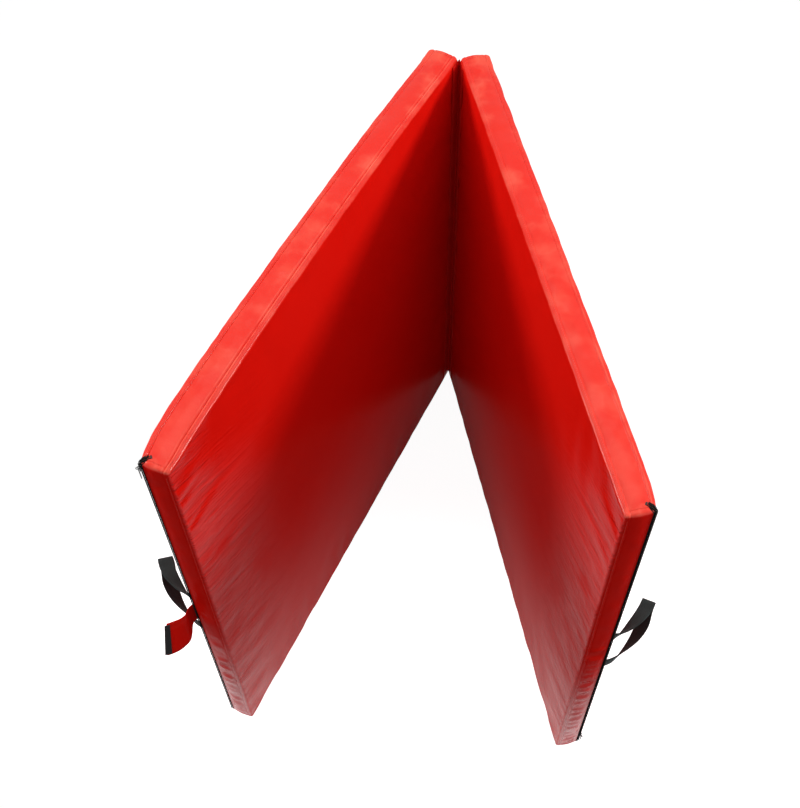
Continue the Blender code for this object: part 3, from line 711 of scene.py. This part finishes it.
# The second colour is a painted highlight: the paler coral that the top walls are mixed towards. The first is
# darker and greyer, for the foot of the end walls.
DARKER_GREYER_RED, HIGHLIGHT_RED = (0.30, 0.022, 0.030), (0.86, 0.160, 0.100)
BASE_THREAD = 0.0012
vinyl = Finish("red_vinyl")
place = vinyl.place()
along_x, out_y, up_z = vinyl.axes(place)
cloud = vinyl.speckle(place, 4.5, 3.0, 0.6)
pores = vinyl.speckle(place, 1400.0, 2.0, 0.6)
handled = vinyl.speckle(place, 38.0, 4.0, 0.65)
near_edge = (out_y - MIDDLE_Y).absolute().between(0.0215, 0.0262)
at_walls = 1.0 - near_edge
on_end = along_x.between(0.975, 0.99) * at_walls
on_top = up_z.between(HEIGHT - 0.006, HEIGHT - 0.001)
on_back = out_y.between(0.044, 0.052)
low_down = 1.0 - up_z.between(0.02, 0.60)
beside_end = along_x.between(0.66, 0.97) * cloud.between(0.32, 0.54) * (1.0 - out_y.between(0.004, 0.012))
slanted = vinyl.node("ShaderNodeCombineXYZ", {},
                     [along_x * 5.0, out_y * 30.0, (up_z - along_x * 0.42) * 56.0])
creased = vinyl.speckle(slanted, 1.0, 3.0, 0.58).ridges(1.6) ** 2.0 * beside_end
crumpled = vinyl.speckle(place, 33.0, 3.0, 0.55)
patches = vinyl.speckle(place, 14.0, 3.0, 0.52)
highlight_streaks = vinyl.speckle(place, 19.0, 2.0, 0.5).ridges(11.0)
rest_x, _, _ = vinyl.axes(vinyl.spot())
on_left = (0.0 - rest_x).between(-0.0005, 0.0005)


def beside_line(line_y, core, fade):
    """One on a line along the panel at one depth, fading away beside it."""
    return 1.0 - (out_y - line_y).absolute().between(core, fade)


# Painted highlight: pale lines along the seam allowances on the top walls, beside the inner face on the left
# panel and beside the back on the right, and a pale band along the top's edge at the free end.
left_seam_highlight = (beside_line(FACE_Y + RIM - 0.0022, 0.0003, 0.0012)
             + beside_line(FACE_Y + RIM + 0.0024, 0.0003, 0.0012) * 0.6) * on_left
right_rim_highlight = beside_line(BACK_Y - 0.0062, 0.0004, 0.0018) * (1.0 - on_left) * along_x.between(0.3, 0.8)
seam_highlights = left_seam_highlight * 0.40 + right_rim_highlight * 0.44 + along_x.between(0.9830, 0.9875) * 0.30
# Painted highlight on the top walls: an even paling, pale patches and streaks that grow towards the fold, and
# the pale seam lines above.
highlight_patches = patches.between(0.44, 0.66) * 0.34 + highlight_streaks * patches.between(0.38, 0.56) * 0.10
top_highlight = on_top * (0.14 + highlight_patches * (1.15 - along_x * 0.75) + seam_highlights * handled.between(0.30, 0.60))
# Darker and greyer towards the foot of the end walls.
darkening = on_end * (1.0 - up_z.between(0.02, 0.50)) * (0.35 + handled * 0.3)
rubbed = (at_walls * 0.5 + 0.25) * handled.between(0.52, 0.72)
shade = (cloud.between(0.30, 0.70) * 0.35 + rubbed * 0.12).limited()
# The red, darker and greyer at the foot of the end walls, with the painted highlight mixed in on the top
# walls.
highlighted_red = vinyl.mixed(top_highlight.limited(), vinyl.mixed(darkening, RED, DARKER_GREYER_RED), HIGHLIGHT_RED)
gloss = (0.018 + on_back * 0.07 + (1.0 - on_back) * low_down * (0.025 + low_down * along_x ** 3.0 * 0.30)
         + along_x.between(0.70, 0.97) * near_edge * (0.045 + creased * 0.16)
         + on_end * (1.0 - up_z.between(0.04, 0.50)) * 0.42 + on_top * (0.20 + handled * 0.5))
threads = (along_x + out_y).ribs(BASE_THREAD) * (up_z + out_y).ribs(BASE_THREAD)
folded = vinyl.relief(creased * 2.2 + crumpled * (at_walls * 1.1 + 0.25), 0.0013)
vinyl.set(base_color=vinyl.mixed(shade, highlighted_red, DEEPER_RED), roughness=0.5 + cloud * 0.1,
          coat_weight=gloss, coat_roughness=0.20, specular_ior_level=0.0,
          normal=vinyl.relief(pores * 0.6 + threads * 0.25 + handled * 0.8, 0.00005, folded))

INWARD = (0.0, -1.0, 0.0)
OUTWARD = (0.0, 1.0, 0.0)
PAST_FACE_SEAM = ((0.0, FACE_Y + RIM + SEAM_GAP, 0.0), OUTWARD)
BAND = [PAST_FACE_SEAM, ((0.0, BACK_Y - RIM - SEAM_GAP, 0.0), INWARD)]
BETWEEN_ENDS = [((CORNER_X - SEAM_GAP, 0.0, 0.0), (-1.0, 0.0, 0.0)),
                ((HINGE_X + SEAM_GAP, 0.0, 0.0), (1.0, 0.0, 0.0))]
COVER_PIECES = {
    "face_cover": [((0.0, FACE_Y + RIM, 0.0), INWARD)],
    "back_cover": [((0.0, BACK_Y - RIM, 0.0), OUTWARD),
                   (ZIP_CENTRE + ZIP_ACROSS * ZIP_OPENING / 2, ZIP_ACROSS)],
    "top_wall": BAND + BETWEEN_ENDS + [((0.0, 0.0, HEIGHT / 2), (0.0, 0.0, 1.0))],
    "bottom_wall": BAND + BETWEEN_ENDS + [((0.0, 0.0, HEIGHT / 2), (0.0, 0.0, -1.0))],
    "hinge_wall": BAND + [((HINGE_X, 0.0, 0.0), (-1.0, 0.0, 0.0))],
    "end_wall": [PAST_FACE_SEAM, ((CORNER_X, 0.0, 0.0), (1.0, 0.0, 0.0)),
                 (ZIP_CENTRE - ZIP_ACROSS * ZIP_OPENING / 2, -ZIP_ACROSS)]}
skins = {name: Skin(name) for name in SIDES}
for name, side in SIDES.items():
    for part, cuts in COVER_PIECES.items():
        points, faces, cloth = sheet_of_cover(skins[name], cuts)
        made = piece(f"{name}_{part}_vinyl", points, faces, side, vinyl, cloth)
        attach(made, name + "_panel")
        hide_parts(f"{name}_{part}")


# Inside each cover lies a slab of pale polyether foam, cut from a block. It fills the cover
# and gives it its shape; nothing fastens it.
foam = Finish("cut_foam")
spot = foam.spot()
cells = foam.node("ShaderNodeTexVoronoi", {}, {"Vector": spot, "Scale": 900.0}).part("Distance")
patches = foam.speckle(spot, 7.0, 2.0)
foam.surface(patches, (0.78, 0.74, 0.60), (0.70, 0.66, 0.50), 0.95 - cells * 0.05, cells, 0.0004)
FOAM_INSET = 0.0034
foam_lines = []
for low, high, count in zip(BOX_LOW, BOX_HIGH, (40, 3, 40)):
    even = np.linspace(low + 2 * EDGE, high - 2 * EDGE, count)
    foam_lines.append(np.concatenate([[low, low + EDGE], even, [high - EDGE, high]]))
foam_points, foam_quads, _ = box_grid(foam_lines)
for name, side in SIDES.items():
    outer, direction = skins[name](foam_points, loose=False)
    made = piece(name + "_foam_slab", outer - direction * FOAM_INSET, foam_quads.tolist(), side, foam)
    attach(made, name + "_panel")
    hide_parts(name + "_foam_core")


# The vinyl pieces are sewn together with red thread, and each seam is stitched down again
# on its rim, a few millimetres from the sewn line.
def thread_finish(name, first, second, smooth):
    """Twisted thread between two colours; a lower number makes it glossier."""
    made = Finish(name)
    fuzz = made.speckle(made.spot(), 2500.0, 1.0)
    made.surface(fuzz, first, second, smooth + fuzz * 0.2, fuzz, 0.00008)
    return made


thread = thread_finish("red_thread", (0.82, 0.075, 0.055), (0.66, 0.030, 0.022), 0.62)
STITCH = 0.0034
STITCH_PITCH = 0.0046
THREAD_RADIUS = 0.00034
THREAD_END = 0.00024
THREAD_DIP = 0.0002


def lengths_along(line):
    """The distance from a line's start to each of its points."""
    return np.concatenate([[0.0], np.cumsum(np.linalg.norm(np.diff(line, axis=0), axis=1))])


def stitch_row(line, skin=None, outward=None, proud=0.00022):
    """One thread bar for each pitch of a line, dipping into the cloth at both ends."""
    line = np.asarray(line, float)
    reach = lengths_along(line)
    starts = np.arange(STITCH_PITCH, reach[-1] - STITCH_PITCH, STITCH_PITCH)
    ends = []
    for shift in (0.0, STITCH / 2, STITCH):
        spots = np.stack([np.interp(starts + shift, reach, line[:, axis]) for axis in range(3)], axis=1)
        ends.append(skin(spots) if skin else (spots, np.tile(outward, (len(spots), 1))))
    along = ends[2][0] - ends[0][0]
    along /= np.linalg.norm(along, axis=1)[:, None]
    points = []
    for (spots, out), lift, radius in zip(ends, (-THREAD_DIP, proud, -THREAD_DIP),
                                          (THREAD_END, THREAD_RADIUS, THREAD_END)):
        points += ring(spots + out * lift, np.cross(along, out) * radius, out * radius)
    to_a_bar = len(points)
    points = np.stack(points, axis=1).reshape(-1, 3)
    points[:, 2] = np.maximum(points[:, 2], 0.0)
    bars = range(0, len(points), to_a_bar)
    return points, [face for bar in bars for face in tube(bar, 3, 6, True)]


def sewn(name, side, rows, finish, body):
    """Rows of stitches as one piece of thread."""
    points, faces = [], []
    for row_points, row_faces in rows:
        offset = sum(len(part) for part in points)
        points.append(row_points)
        faces += [tuple(corner + offset for corner in face) for face in row_faces]
    made = piece(name, np.concatenate(points), faces, side, finish)
    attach(made, body)


RIM_STITCH = RIM - 0.0034
CLEAR = 0.002
CLEAR_OF_ZIP = 0.012


def round_the_panel(y, at_zip):
    """Lines on the sharp box round the walls at one depth of the panel; beside the zip they
    leave out the free end."""
    start, stop = FOLD_X + EDGE + CLEAR, CORNER_X - (CLEAR_OF_ZIP if at_zip else CLEAR)
    across, upwards = np.linspace(start, stop, 90), np.linspace(EDGE + CLEAR, HEIGHT - EDGE - CLEAR, 90)
    lines = [[(x, y, HEIGHT) for x in across], [(x, y, 0.0) for x in across[::-1]],
             [(FOLD_X, y, z) for z in upwards]]
    if not at_zip:
        lines.append([(LENGTH, y, z) for z in np.linspace(HEIGHT - EDGE - CLEAR, EDGE + CLEAR, 120)])
    return lines


for name, side in SIDES.items():
    lines = round_the_panel(FACE_Y + RIM_STITCH, False) + round_the_panel(BACK_Y - RIM_STITCH, True)
    rows = [stitch_row(line, skins[name]) for line in lines]
    sewn(name + "_seam_stitching", side, rows, thread, name + "_panel")


# The fold strip is a band of red coated tape over the fold, sewn to both inner faces, on
# which the panels turn. It lies flat on the faces and goes round the fold in a tight bend.
STRIP_WIDTH = 0.026
STRIP_BEND = 0.0006
STRIP_LIFT = 0.00065
STRIP_HALF = 0.00030
STRIP_COLUMN = 0.002
STRIP_WAVE = 0.00012
STRIP_ROWS = (0.0035, 0.0075)
tape = Finish("red_fold_tape")
place = tape.place()
run_u, run_v, _ = tape.axes(place)
weave = run_u.ribs(0.0011) * run_v.ribs(0.0009)
darkening = tape.speckle(place, 30.0, 3.0)
tape.surface((weave * 0.3 + darkening * 0.6).limited(), (0.62, 0.0062, 0.0034), (0.52, 0.0050, 0.0028),
             0.44 + darkening * 0.12, weave * 0.5 + 0.5, 0.00008, specular_ior_level=0.08)


def strip_section():
    """Places across the strip from its left edge over the fold to its right edge, at no
    height, each with the direction of the strip's thickness."""
    leaves = []
    for side in SIDES.values():
        outward = panel_matrix(side).to_3x3() @ Vector((0, 1, 0))
        leaves.append([(in_row_frame(side, (x, STRIP_LIFT, 0.0)), outward)
                       for x in np.linspace(STRIP_WIDTH, STRIP_BEND, 13)])
    left, right = leaves
    bend = []
    for angle in np.linspace(*(math.atan2(leaf[0][1].y, leaf[0][1].x) for leaf in leaves), 7)[1:-1]:
        outward = Vector((math.cos(angle), math.sin(angle), 0.0))
        bend.append((ROOT + outward * STRIP_LIFT, outward))
    return left + bend + right[::-1]


section = strip_section()
count = len(section)
levels = np.linspace(EDGE, HEIGHT - EDGE * 0.4, 70)
strip_points, strip_cloth = [], []
for z in levels:
    under, over = [], []
    for index, (spot, outward) in enumerate(section):
        from_fold = abs(2 * index / (count - 1) - 1)
        wave = STRIP_WAVE * noise.noise((index * 0.4, z * 40.0, 3.0)) * from_fold
        under.append(spot - outward * (STRIP_HALF + wave) + Vector((0, 0, z)))
        over.append(spot + outward * STRIP_HALF + Vector((0, 0, z)))
    strip_points += under + over[::-1]
    strip_cloth += [(index * STRIP_COLUMN, z, 0.0) for index in (*range(count), *reversed(range(count)))]
strip_faces = tube(0, len(levels), 2 * count, False)
to_panel = np.linalg.inv(np.array(panel_matrix(1.0)))
strip_local = np.array([tuple(point) for point in strip_points]) @ to_panel[:3, :3].T + to_panel[:3, 3]
fold_strip = piece("fold_strip", strip_local, strip_faces, 1.0, tape, strip_cloth)
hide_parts("left_fold_strip", "right_fold_strip")
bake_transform(fold_strip)
for name, side in SIDES.items():
    rows = []
    for x in (STRIP_WIDTH - STRIP_ROWS[0], STRIP_WIDTH - STRIP_ROWS[1]):
        line = [(x, STRIP_LIFT - STRIP_HALF, z) for z in np.linspace(EDGE + CLEAR, HEIGHT - EDGE, 60)]
        rows.append(stitch_row(line, outward=INWARD, proud=-0.00010))
    sewn(name + "_fold_strip_stitching", side, rows, thread, name + "_panel")


# The zip runs up the free end's outer edge: two woven black tapes, a coil of black nylon
# sewn on them, a stop at both ends, and a metal slider with its hanging puller.
TAPE_OUT = EDGE + GAP
TAPE_THICKNESS = 0.0005
COIL_OUT = TAPE_OUT + TAPE_THICKNESS + GAP
ZIP_FOOT = 0.0060
ZIP_TAIL = 0.0080
STOP_LENGTH = 0.0025
TOOTH_PITCH = 0.0021
CORE_ACROSS = 0.00165
CORE_LIFT = 0.00062
CORE_RADIUS = 0.00052
ROW_END = 0.0006
TURN_DEPTH = 0.00034
TURN_LEAN = 0.22
STRAIGHT = HEIGHT - EDGE - ZIP_FOOT
BEND = COIL_OUT * math.pi / 2
TURN_SHAPE = [(0.0026, 0.00010, 0.00062), (0.00275, 0.00080, 0.00070), (0.0024, 0.00122, 0.00070),
              (0.0014, 0.00126, 0.00056), (0.0006, 0.00120, 0.00050), (0.00022, 0.00105, 0.00040)]
woven = Finish("black_zip_tape")
spot = woven.spot()
across_x, across_y, height_z = woven.axes(spot)
rib = height_z.ribs(0.0009) * (across_x + across_y).ribs(0.0010)
lint = woven.speckle(spot, 260.0, 3.0)
woven.surface((rib * 0.4 + lint * 0.5).limited(), (0.010, 0.010, 0.011), (0.026, 0.026, 0.028),
              0.78 + lint * 0.12, rib * 0.5 + 0.5, 0.00012, specular_ior_level=0.0)
# The coil is a touch lighter and warmer than the tapes: partly the nylon's own tone, partly a painted
# highlight along the middle of the chain.
coil = Finish("black_nylon_coil")
drawn = coil.speckle(coil.spot(), 1200.0, 2.0)
coil.surface(drawn, (0.016, 0.013, 0.012), (0.032, 0.026, 0.024), 0.52 + drawn * 0.14, drawn, 0.00003,
             specular_ior_level=0.02)
enamel = Finish("black_enamelled_metal")
spot = enamel.spot()
chips = enamel.speckle(spot, 900.0, 4.0, 0.7).between(0.66, 0.70)
peel = enamel.speckle(spot, 2200.0, 2.0)
enamel.surface(chips, (0.012, 0.012, 0.013), (0.34, 0.32, 0.28), 0.27 + peel * 0.12 + chips * 0.1,
               peel - chips * 0.6, 0.00003, metallic=0.3 + chips * 0.7)


def dress(node, finish, bevel=0.0):
    """A rigid CAD piece with its real finish, and its sharp edges broken."""
    shown = frame["nodes"][node]
    for material_slot in shown.material_slots:
        material_slot.material = finish.material
    if bevel:
        softened = shown.modifiers.new("softened", "BEVEL")
        softened.width = bevel
        softened.segments = 2
        softened.limit_method = "ANGLE"
        softened.angle_limit = math.radians(35)


def chain_place(distance):
    """The point, outward and forward direction at a distance along the zip's coil."""
    upward = np.array((0.0, 0.0, 1.0))
    if distance < STRAIGHT:
        return ZIP_CENTRE + ZIP_OUT * COIL_OUT + upward * (ZIP_FOOT + distance), ZIP_OUT, upward
    centre = ZIP_CENTRE + upward * (HEIGHT - EDGE)
    if distance < STRAIGHT + BEND:
        angle = (distance - STRAIGHT) / COIL_OUT
        out = ZIP_OUT * math.cos(angle) + upward * math.sin(angle)
        return centre + out * COIL_OUT, out, upward * math.cos(angle) - ZIP_OUT * math.sin(angle)
    return centre + upward * COIL_OUT - ZIP_OUT * (distance - STRAIGHT - BEND), upward, -ZIP_OUT


def coil_row(direction):
    """The turns of one half of the coil: each runs from its heel on the tape over to a head
    that meets the other half's turns in the middle; a cord runs through them all."""
    total = STRAIGHT + BEND + ZIP_TAIL
    start = STOP_LENGTH + GAP + (TOOTH_PITCH / 2 if direction > 0 else 0.0) + ROW_END
    outwards = ZIP_ACROSS * direction
    points, faces = [], []
    distance = start
    while distance < total - ROW_END:
        spot, out, forward = chain_place(distance)
        faces += tube(len(points), len(TURN_SHAPE), 6, direction < 0)
        for across, lift, half in TURN_SHAPE:
            lean = direction * (across - 0.0014) * TURN_LEAN
            centre = spot + outwards * across + out * lift + forward * lean
            points += ring(centre, forward * half, out * TURN_DEPTH)
        distance += TOOTH_PITCH
    stops = np.concatenate([[start], np.linspace(STRAIGHT, total, 30)])
    faces += tube(len(points), len(stops), 6, direction > 0)
    for reach in stops:
        spot, out, _ = chain_place(min(reach, total - ROW_END))
        centre = spot + outwards * CORE_ACROSS + out * CORE_LIFT
        points += ring(centre, outwards * CORE_RADIUS, out * CORE_RADIUS)
    return np.array(points), faces


for name, side in SIDES.items():
    for part, direction in (("zip_coil_back", 1.0), ("zip_coil_end", -1.0)):
        points, faces = coil_row(direction)
        made = piece(f"{name}_{part}_turns", points, faces, side, coil)
        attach(made, name + "_panel")
        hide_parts(f"{name}_{part}")
    for part in ("zip_tape_back", "zip_tape_end"):
        dress(f"{name}_{part}", woven)
    for part in ("zip_top_stop", "zip_bottom_stop"):
        dress(f"{name}_{part}", enamel, 0.0002)
    dress(name + "_zip_slider", enamel, 0.00022)
    dress(name + "_zip_puller", enamel, 0.00025)


# Each carry handle is one length of 30 mm black polyester webbing. Its two ends are sewn
# flat on the back cover beside the zip, and between them it stands out in a turned loop.
WEBBING_WIDTH = 0.030
WEBBING_HALF = 0.0010
HANDLE_HEIGHT = 0.465
HANDLE_SPREAD = 0.120
HANDLE_SETBACK = 0.0150
HANDLE_TAB = 0.0464
HANDLE_REACH = 0.0982
HANDLE_LEAN = 0.0610
HANDLE_SWINGS = {"left": math.radians(4.0), "right": 0.0}
BOX_INSET_X, BOX_INSET_Z = 0.0040, 0.0035
webbing = Finish("black_webbing")
place = webbing.place()
run_u, run_v, _ = webbing.axes(place)
fluff = webbing.speckle(place, 420.0, 3.0)
picks = run_u.ribs(0.0013) * run_v.ribs(0.0017)
weave = ((run_u + run_v).ribs(0.0021) * 0.45 + picks * 0.35 + fluff * 0.5).limited()
webbing.surface(weave, (0.007, 0.010, 0.010), (0.036, 0.054, 0.055), 0.66 + fluff * 0.14, weave, 0.00022,
                specular_ior_level=0.12, sheen_weight=0.14, sheen_roughness=0.45,
                sheen_tint=(0.55, 0.66, 0.68))


def smooth_path(stations, steps):
    """A smooth curve through given rows of numbers, with a few steps between each pair."""
    rows = [np.array(row, float) for row in stations]
    rows = [2 * rows[0] - rows[1]] + rows + [2 * rows[-1] - rows[-2]]
    path = []
    for before, start, stop, after in zip(rows, rows[1:], rows[2:], rows[3:]):
        for step in range(steps):
            t = step / steps
            path.append(0.5 * (2 * start + (stop - before) * t
                               + (2 * before - 5 * start + 4 * stop - after) * t ** 2
                               + (3 * start - before - 3 * stop + after) * t ** 3))
    return np.array(path + [rows[-2]])


def ribbon(lower, upper, half_thick, columns=10):
    """A flat band between two edges, with rounded edges and closed ends: its points, faces
    and flat coordinates along and across."""
    width = upper - lower
    middle = (lower + upper) / 2
    normal = np.cross(np.gradient(middle, axis=0), width)
    normal /= np.linalg.norm(normal, axis=1)[:, None]
    breadth = np.linalg.norm(width, axis=1).mean()
    reach = lengths_along(middle)
    corner = half_thick / breadth
    over = [(0.0, 0.0), (corner * 0.3, 0.7)]
    over += [(part, 1.0) for part in np.linspace(corner, 1 - corner, columns + 1)]
    over += [(1 - corner * 0.3, 0.7), (1.0, 0.0)]
    points, cloth = [], []
    for part, lift in over + [(part, -lift) for part, lift in over[-2:0:-1]]:
        points.append(lower + width * part + normal * lift * half_thick)
        cloth.append(np.stack(np.broadcast_arrays(reach, part * breadth, lift * half_thick), axis=1))
    faces = tube(0, len(lower), len(points), True)
    return np.stack(points, axis=1).reshape(-1, 3), faces, np.stack(cloth, axis=1).reshape(-1, 3)


def edge_point(forward, outward, height):
    """A point by its distance past the free end and out from the back cover."""
    return np.stack(np.broadcast_arrays(LENGTH + forward, BACK_Y + outward, height), axis=-1)


def handle_edges(swing):
    """Lower and upper edge of the webbing from one sewn end to the other. The stations give
    lean along the panel, reach out from it, rise and twist in degrees."""
    stations = [(0.0, 0.0, 1.0, 0), (-0.057, 0.063, 1.0, 4), (0.0, 0.252, 1.033, 26),
                (0.311, 0.567, 0.967, 50), (0.672, 0.822, 0.733, 60), (1.0, 1.0, 0.467, 62),
                (0.918, 0.964, 0.067, 62), (0.574, 0.842, -0.283, 56), (0.213, 0.588, -0.517, 36),
                (-0.033, 0.262, -0.833, 8), (-0.057, 0.063, -1.0, 2), (0.0, 0.0, -1.0, 0)]
    lift = GAP + WEBBING_HALF
    sideways = np.array((0.785, 0.620, 0.0))
    seam = np.array((LENGTH - HANDLE_SETBACK, BACK_Y + lift))
    swung = np.array(((math.cos(swing), -math.sin(swing)), (math.sin(swing), math.cos(swing))))
    edges = []
    for way in (-0.5, 0.5):
        loop = []
        for lean, reach, rise, degrees in smooth_path(stations, 8):
            turn = math.radians(degrees)
            across = (np.array((0, 0, math.cos(turn))) + sideways * math.sin(turn)) * WEBBING_WIDTH
            spot = edge_point(-HANDLE_SETBACK - HANDLE_LEAN * lean, lift + HANDLE_REACH * reach,
                              HANDLE_HEIGHT + HANDLE_SPREAD / 2 * rise) + across * way
            loop.append((*(seam + swung @ (spot[:2] - seam)), spot[2]))
        upper_tab, lower_tab = ([edge_point(-HANDLE_SETBACK - HANDLE_TAB * step / 8, lift,
                                            HANDLE_HEIGHT + HANDLE_SPREAD / 2 * rise + WEBBING_WIDTH * way)
                                 for step in range(1, 9)] for rise in (1.0, -1.0))
        edges.append(np.array(upper_tab[::-1] + loop + lower_tab))
    return edges


black_thread = thread_finish("black_thread", (0.012, 0.012, 0.013), (0.05, 0.05, 0.053), 0.5)


def box_and_cross(low_x, high_x, low_z, high_z, y):
    """The stitching of a sewn end: a box with a cross in it."""
    corners = [(low_x, low_z), (high_x, low_z), (high_x, high_z), (low_x, high_z)]
    lines = [(corners[a], corners[b]) for a, b in ((0, 1), (1, 2), (2, 3), (3, 0), (0, 2), (1, 3))]
    return [stitch_row([(start[0], y, start[1]), (stop[0], y, stop[1])], outward=OUTWARD)
            for start, stop in lines]


seam_x = LENGTH - HANDLE_SETBACK
for name, side in SIDES.items():
    lower, upper = handle_edges(-HANDLE_SWINGS[name])
    points, faces, cloth = ribbon(lower, upper, WEBBING_HALF)
    made = piece(name + "_handle", points, faces, side, webbing, cloth)
    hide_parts(name + "_handle_loop", name + "_handle_end_upper", name + "_handle_end_lower")
    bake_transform(made)
    rows = []
    for rise in (1.0, -1.0):
        middle = HANDLE_HEIGHT + HANDLE_SPREAD / 2 * rise
        rows += box_and_cross(seam_x - HANDLE_TAB + BOX_INSET_X, seam_x - BOX_INSET_X,
                              middle - WEBBING_WIDTH / 2 + BOX_INSET_Z,
                              middle + WEBBING_WIDTH / 2 - BOX_INSET_Z,
                              BACK_Y + GAP + 2 * WEBBING_HALF)
    sewn(name + "_handle_stitching", side, rows, black_thread, name + "_panel")


# The closure strap is a doubled strip of the same red vinyl, sewn to the left panel between
# the ends of its handle. Hook tape on its end closes on a patch of loop tape on the right.
STRAP_WIDTH = 0.060
STRAP_LENGTH = 0.095
STRAP_HALF = 0.0007
STRAP_SETBACK = 0.0180
STRAP_TAIL = 0.024
STRAP_HEIGHT = 0.475
LOWER_SHAPE = [(0.0, 0.0), (0.126, 0.053), (0.221, 0.079), (0.316, 0.047), (0.442, -0.021),
               (0.585, -0.063), (0.789, -0.004), (0.937, 0.103), (1.0, 0.174)]
UPPER_SHAPE = [(0.0, 0.0), (0.126, 0.053), (0.211, 0.079), (0.284, 0.068), (0.368, 0.063),
               (0.463, 0.105), (0.547, 0.179), (0.611, 0.237), (0.653, 0.279)]


def strap_edge(height, shape):
    """One long edge of the strap: its sewn tail, then its free length by its shape."""
    lift = GAP + STRAP_HALF
    tail = [edge_point(-STRAP_SETBACK - STRAP_TAIL * step / 6, lift, height) for step in range(6, 0, -1)]
    free = [edge_point(STRAP_LENGTH * along - STRAP_SETBACK, lift + STRAP_LENGTH * out, height)
            for along, out in smooth_path(shape, 6)]
    return np.array(tail + free)


strap_lower = strap_edge(STRAP_HEIGHT - STRAP_WIDTH / 2, LOWER_SHAPE)
strap_upper = strap_edge(STRAP_HEIGHT + STRAP_WIDTH / 2, UPPER_SHAPE)
points, faces, cloth = ribbon(strap_lower, strap_upper, STRAP_HALF, columns=14)
strap = piece("left_closure_strap_vinyl", points, faces, -1.0, vinyl, cloth)
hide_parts("left_closure_strap")
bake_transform(strap)
rows = box_and_cross(LENGTH - STRAP_SETBACK - STRAP_TAIL + 0.003, LENGTH - STRAP_SETBACK - 0.002,
                     STRAP_HEIGHT - STRAP_WIDTH / 2 + 0.004, STRAP_HEIGHT + STRAP_WIDTH / 2 - 0.004,
                     BACK_Y + GAP + 2 * STRAP_HALF)
sewn("left_strap_stitching", -1.0, rows, thread, "left_panel")

pile = Finish("black_hook_and_loop")
spot = pile.spot()
loops = pile.speckle(spot, 1500.0, 4.0, 0.7)
knots = pile.node("ShaderNodeTexVoronoi", {}, {"Vector": spot, "Scale": 620.0}).part("Distance")
pile.surface(loops, (0.006, 0.006, 0.007), (0.035, 0.035, 0.037), 0.85 + loops * 0.1,
             loops * 0.6 + knots * 0.7, 0.0005,
             specular_ior_level=0.15, sheen_weight=0.12, sheen_roughness=0.5)
dress("left_closure_hook_tape", pile, 0.0003)
dress("right_loop_patch", pile, 0.0004)

low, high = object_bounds()
